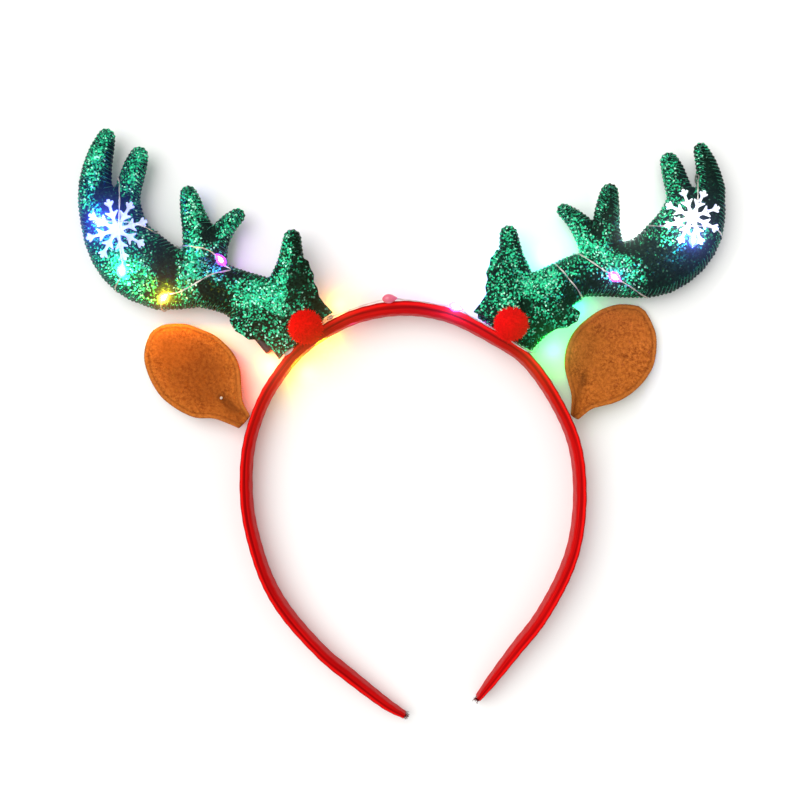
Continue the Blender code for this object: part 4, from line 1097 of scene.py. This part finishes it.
def height_on(skin, stop):
    """A stop's height: just over the skin's front, just under its back, or as given."""
    points, up = skin
    if stop.lie == "edge":
        return SEAM_HEIGHT
    if not isinstance(stop.lie, str):
        return stop.lie
    way = 1 if stop.lie == "front" else -1
    facing = points[up[:, 2] * way > 0.2]
    off = ((facing[:, :2] - (stop.x, stop.y)) ** 2).sum(1)
    seat = facing[off < 1.0]
    level = (seat[:, 2] * way).max() * way if len(seat) else SEAM_HEIGHT
    lift = DROP_HEIGHT / 2 + SEAT_GAP if stop.drop else WIRE_CLEAR
    return level + way * lift


def laid_on(skin, route, hugs, clear):
    """Points that hug the skin are moved to lie just off it; the others only out of it."""
    points, up = skin
    seat = nearest(route, points)
    gap = ((route - points[seat]) * up[seat]).sum(1)
    apart = np.linalg.norm(route - points[seat], axis=1)
    shift = np.where(hugs & (apart < HUG_REACH), clear - gap, np.maximum(clear - gap, 0))
    shift = np.where(apart < HUG_REACH, shift, 0)
    route = route + up[seat] * shift[:, None]
    route[:, 2] = np.maximum(route[:, 2], STRAND_APART + STRAND_RADIUS + 0.05)
    return route


def eased(route, rounds):
    """A route with its small kinks relaxed: each point moves to its neighbours' middle."""
    for _ in range(rounds):
        route[1:-1] = 0.5 * route[1:-1] + 0.25 * (route[:-2] + route[2:])
    return route


def two_strands(name, run):
    """Two thin tubes that turn slowly round each other along a run of the route."""
    ahead = np.gradient(run, axis=0)
    ahead /= np.linalg.norm(ahead, axis=1)[:, None] + 1e-9
    side = np.stack([-ahead[:, 1], ahead[:, 0], np.zeros(len(run))], -1)
    side /= np.linalg.norm(side, axis=1)[:, None] + 1e-6
    up = np.cross(ahead, side)
    turn = np.arange(len(run))[:, None] * WIRE_STEP * 2 * math.pi / STRAND_PITCH
    off = STRAND_APART * (side * np.cos(turn) + up * np.sin(turn) * 0.6)
    corners, faces = tubes(np.stack([run + off, run - off]), STRAND_RADIUS, 6)
    wire = add_piece(name, mesh_of(name, corners, faces), wire_silver)
    wire.visible_shadow = False
    return wire


def turned_drop(name, middle, heading, size, material):
    """A turned drop: radius = sin(pi t ** 0.8) ** 0.65, less near its pointed end."""
    t = np.linspace(0, 1, DROP_RINGS)
    turn = np.arange(DROP_SIDES) * 2 * math.pi / DROP_SIDES
    wide = np.sin(math.pi * np.clip(t, 0.01, 0.99) ** 0.8) ** 0.65 * (1 - 0.35 * t ** 4)
    along = heading / np.linalg.norm(heading)
    side = np.cross((0, 0, 1), along)
    side /= np.linalg.norm(side)
    up = np.cross(along, side)
    length, width, height = size
    rings = (middle + (t[:, None, None] - 0.5) * length * along
             + wide[:, None, None] * (
                 np.cos(turn)[None, :, None] * side * width / 2
                 + np.sin(turn)[None, :, None] * up * height / 2))
    index = np.arange(rings.size // 3).reshape(rings.shape[:2])
    low, high = index[:-1], index[1:]
    walls = np.stack([low, np.roll(low, -1, 1), np.roll(high, -1, 1), high], -1).reshape(-1, 4)
    faces = walls.tolist() + [index[0, ::-1].tolist(), index[-1].tolist()]
    return add_piece(name, mesh_of(name, rings.reshape(-1, 3), faces), material)


def resin_drop(light, middle, heading):
    """A drop on the wire, its lit chip inside, and the lamp that throws its light."""
    piece = turned_drop(
        light.name + "_drop", middle, heading, (DROP_LENGTH, DROP_WIDTH, DROP_HEIGHT),
        drop_finish(light))
    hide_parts(light.name)
    if not light.lamp:
        return
    piece.visible_shadow = False
    chip = turned_drop(light.name + "_chip", middle, heading, CHIP_SIZE, chip_finish(light))
    chip.visible_shadow = False
    lamp = bpy.data.lights.new(light.name + "_lamp", "POINT")
    lamp.color = light.glow
    lamp.energy = light.lamp
    lamp.shadow_soft_size = LAMP_RADIUS * MM
    glowing = bpy.data.objects.new(lamp.name, lamp)
    glowing.location = (middle + (0, 0, LAMP_OVER_DROP)) * MM
    bpy.context.scene.collection.objects.link(glowing)


def string_of_lights(label, stops, skin, seam):
    """Wires from drop to drop along the route, and a drop seated at each named stop."""
    rows = []
    for stop in stops:
        place_of = np.array((stop.x, stop.y))
        if stop.lie == "edge":
            place_of = seam[nearest(place_of[None], seam)[0]]
        rows.append((*place_of, height_on(skin, stop), float(isinstance(stop.lie, str))))
    dense = smooth_path(rows, WIRE_STEP)
    hugs = dense[:, 3] > 0.5
    route = dense[:, :3]
    for rounds in (6, 3, 2):
        route = eased(laid_on(skin, route, hugs, WIRE_CLEAR), rounds)
    route = laid_on(skin, route, np.zeros(len(route), dtype=bool), WIRE_CLEAR)
    route = evenly(route, WIRE_STEP)
    keep = np.ones(len(route), dtype=bool)
    for stop, row in zip(stops, rows):
        if stop.drop is None:
            continue
        middle = np.array(row[:3])
        if stop.lie == "front":
            free = np.zeros(1, dtype=bool)
            middle = laid_on(skin, middle[None], free, DROP_WIDTH / 2 + 0.2)[0]
        apart = np.linalg.norm(route - middle, axis=1)
        close = int(apart.argmin())
        heading = route[min(close + 4, len(route) - 1)] - route[max(close - 4, 0)]
        resin_drop(LIGHTS[stop.drop], middle, heading)
        keep &= apart > DROP_LENGTH / 2 - 0.3
    runs = np.split(np.arange(len(route)), np.flatnonzero(np.diff(keep.astype(int))) + 1)
    runs = [run for run in runs if keep[run[0]] and len(run) > 5]
    for number, run in enumerate(runs, 1):
        piece = two_strands(f"strands_{label}_{number}", route[run])
        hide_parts(f"wire_{label}_{number}")


string_of_lights(
    "left", LEFT_STRING, cover([left_antler, band_mesh] + leaves[:2]), left_seam)
string_of_lights(
    "right", RIGHT_STRING, cover([right_antler, band_mesh] + leaves[2:]), right_seam)

# Cell case
# A flat black moulded case for the button cells, behind the left antler's root, with a lid
# line round it. Only its corner shows from the front.
CASE_LENGTH, CASE_WIDTH, CASE_THICK = 15.0, 11.0, 4.0
CASE_AT = (-49.6, -7.6, 2.6)
CASE_TURN = math.radians(-141)
CASE_ROUND = 0.9
LID_LINE = 0.12
case_black, case_tree, case_shader = finish("case_dressed", Roughness=0.42)
case_where = place(case_tree, "ShaderNodeTexCoord")
case_grain = place(case_tree, "ShaderNodeTexNoise", {
    "Vector": case_where.outputs["Object"], "Scale": 4200.0, "Detail": 2.0})
case_tone = place(case_tree, "ShaderNodeMix", {
    "Factor": case_grain.outputs["Fac"], 6: (0.006, 0.006, 0.007, 1),
    7: (0.022, 0.022, 0.024, 1)}, data_type="RGBA")
case_tree.links.new(case_tone.outputs[2], case_shader.inputs["Base Color"])
case_relief = place(case_tree, "ShaderNodeBump", {
    "Height": case_grain.outputs["Fac"], "Strength": 0.3, "Distance": 0.0001})
case_tree.links.new(case_relief.outputs[0], case_shader.inputs["Normal"])

case_levels = np.array((0, 0.25, 0.6, 0.9, 1.7, 1.8, 2.0, 2.1, 3.1, 3.4, 3.75, 4.0))
case_inset = np.array((0.9, 0.35, 0.08, 0, 0, LID_LINE, LID_LINE, 0, 0, 0.08, 0.35, 0.9))
case_turn = np.arange(64) * 2 * math.pi / 64
corner_x = CASE_LENGTH / 2 - CASE_ROUND
corner_y = CASE_WIDTH / 2 - CASE_ROUND
ring_x = np.sign(np.cos(case_turn)) * corner_x + CASE_ROUND * np.cos(case_turn)
ring_y = np.sign(np.sin(case_turn)) * corner_y + CASE_ROUND * np.sin(case_turn)
grow = 1 - case_inset[:, None] / (CASE_WIDTH / 2)
local_x, local_y = ring_x * grow, ring_y * grow
case_corners = np.stack([
    CASE_AT[0] + local_x * math.cos(CASE_TURN) - local_y * math.sin(CASE_TURN),
    CASE_AT[1] + local_x * math.sin(CASE_TURN) + local_y * math.cos(CASE_TURN),
    np.broadcast_to(CASE_AT[2] - CASE_THICK / 2 + case_levels[:, None], local_x.shape)], -1)
case_index = np.arange(local_x.size).reshape(local_x.shape)
case_low, case_high = case_index[:-1], case_index[1:]
case_walls = np.stack([
    case_low, np.roll(case_low, -1, 1), np.roll(case_high, -1, 1), case_high], -1)
case_faces = case_walls.reshape(-1, 4).tolist() + [
    case_index[0, ::-1].tolist(), case_index[-1].tolist()]
case = add_piece(
    "cell_case_moulded", mesh_of("cell_case_moulded", case_corners.reshape(-1, 3), case_faces),
    case_black)
case.data.set_sharp_from_angle(angle=math.radians(40))
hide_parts("cell_case")

# Hot-melt glue
# Two beads of clear glue that have run out beside the left leaves and set in soft lumps.
Bead = namedtuple("Bead", "name x y z long wide high turn")
GLUE = [
    Bead("glue_left_lower", -43.2, -15.8, 13.2, 4.4, 1.6, 1.0, 41.0),
    Bead("glue_left_upper", -28.6, -3.6, 10.8, 3.0, 1.5, 2.2, 33.0),
]
glue_clear, glue_tree, glue_shader = finish(
    "glue_dressed", Roughness=0.25, Transmission_Weight=0.3, IOR=1.48)
glue_where = place(glue_tree, "ShaderNodeTexCoord")
glue_cloud = place(glue_tree, "ShaderNodeTexNoise", {
    "Vector": glue_where.outputs["Object"], "Scale": 700.0})
glue_tone = place(glue_tree, "ShaderNodeMix", {
    "Factor": glue_cloud.outputs["Fac"], 6: (0.92, 0.72, 0.52, 1), 7: (0.86, 0.86, 0.84, 1)},
    data_type="RGBA")
glue_tree.links.new(glue_tone.outputs[2], glue_shader.inputs["Base Color"])


def glue_bead(bead):
    """A lumpy oval: radius = 0.94 + 0.06 * sin * cos of two slanting ways, scaled, turned."""
    shape = bmesh.new()
    bmesh.ops.create_icosphere(shape, subdivisions=4, radius=0.5)
    made = bpy.data.meshes.new(bead.name + "_set")
    shape.to_mesh(made)
    shape.free()
    ball, _ = corners_of(made)
    ball = ball * MM
    lump = 0.94 + 0.06 * np.sin(ball @ (9.0, 4.0, 6.0)) * np.cos(ball @ (3.0, -8.0, 5.0))
    sized = ball * lump[:, None] * (bead.long, bead.wide, bead.high)
    angle = math.radians(bead.turn)
    turned = np.stack([
        bead.x + sized[:, 0] * math.cos(angle) - sized[:, 1] * math.sin(angle),
        bead.y + sized[:, 0] * math.sin(angle) + sized[:, 1] * math.cos(angle),
        bead.z + sized[:, 2]], -1)
    move_corners(made, turned)
    piece = add_piece(bead.name + "_set", made, glue_clear)
    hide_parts(bead.name)


for bead in GLUE:
    glue_bead(bead)

# Studio
# A plain white floor, a bright even surround and one broad soft light from the upper left.
# Small coloured lamps stand for the string's lights that lie hidden, and for the glare on the
# right snowflake. Each is placed under a pixel of the photograph.
SUN_FROM = (-0.50, 0.26, 1.0)
SUN_SPREAD = math.radians(60)
SUN_STRENGTH = 2.1
SURROUND = 0.62
FLOOR_HALF = 20.0
GLOW_RADIUS = 3.0
Glow = namedtuple("Glow", "px py height colour energy")
GLOWS = [
    Glow(320, 340, 3.0, (0.8, 1.0, 0.02), 0.013), Glow(306, 372, 3.0, (0.9, 1.0, 0.02), 0.006),
    Glow(272, 366, 3.0, (1.0, 0.16, 0.02), 0.010), Glow(338, 306, 3.0, (1.0, 0.45, 0.05), 0.004),
    Glow(262, 398, 3.0, (1.0, 0.15, 0.04), 0.003), Glow(352, 322, 6.0, (1.0, 0.02, 0.5), 0.0014),
    Glow(184, 325, 10.5, (1.0, 0.42, 0.02), 0.0005), Glow(494, 300, 4.0, (0.1, 0.3, 1.0), 0.006),
    Glow(554, 350, 3.0, (0.0, 1.0, 0.05), 0.007), Glow(486, 322, 10.0, (0.75, 0.05, 1.0), 0.002),
    Glow(548, 256, 3.0, (0.1, 1.0, 0.85), 0.004), Glow(632, 234, 3.0, (0.8, 1.0, 0.95), 0.006),
    Glow(496, 258, 3.0, (0.1, 0.8, 1.0), 0.004), Glow(689, 224, 21.0, (1.0, 0.95, 0.72), 0.018),
    Glow(574, 308, 3.0, (0.0, 1.0, 0.35), 0.004),
]

floor_shape = bmesh.new()
bmesh.ops.create_grid(floor_shape, x_segments=1, y_segments=1, size=FLOOR_HALF)
floor_mesh = bpy.data.meshes.new("floor")
floor_shape.to_mesh(floor_mesh)
floor_shape.free()
floor = bpy.data.objects.new("floor", floor_mesh)
floor_white, _, _ = finish("floor_white", Base_Color=(0.93, 0.93, 0.91, 1), Roughness=0.9)
floor_mesh.materials.append(floor_white)
bpy.context.scene.collection.objects.link(floor)

sun = bpy.data.lights.new("window", "SUN")
sun.energy = SUN_STRENGTH
sun.angle = SUN_SPREAD
window = bpy.data.objects.new("window", sun)
window.rotation_euler = (
    math.acos(SUN_FROM[2] / math.hypot(*SUN_FROM)), 0, math.atan2(SUN_FROM[0], -SUN_FROM[1]))
bpy.context.scene.collection.objects.link(window)

for number, glow in enumerate(GLOWS):
    lamp = bpy.data.lights.new(f"glow_{number}", "POINT")
    lamp.color = glow.colour
    lamp.energy = glow.energy
    lamp.shadow_soft_size = GLOW_RADIUS * MM
    shining = bpy.data.objects.new(lamp.name, lamp)
    shining.location = np.append(under(glow.px, glow.py, glow.height), glow.height) * MM
    bpy.context.scene.collection.objects.link(shining)

world = bpy.data.worlds.new("surround")
world.use_nodes = True
world.node_tree.nodes["Background"].inputs["Color"].default_value = (1, 1, 1, 1)
world.node_tree.nodes["Background"].inputs["Strength"].default_value = SURROUND
bpy.context.scene.world = world
bpy.context.scene.view_settings.view_transform = "Standard"

bpy.context.scene.use_nodes = True
film = bpy.context.scene.node_tree
film.nodes.clear()
taken = place(film, "CompositorNodeRLayers")
bloom = place(film, "CompositorNodeGlare", {
    "Image": taken.outputs["Image"], "Threshold": 2.5, "Strength": 0.35, "Size": 0.3},
    glare_type="BLOOM")
place(film, "CompositorNodeComposite", {"Image": bloom.outputs[0]})
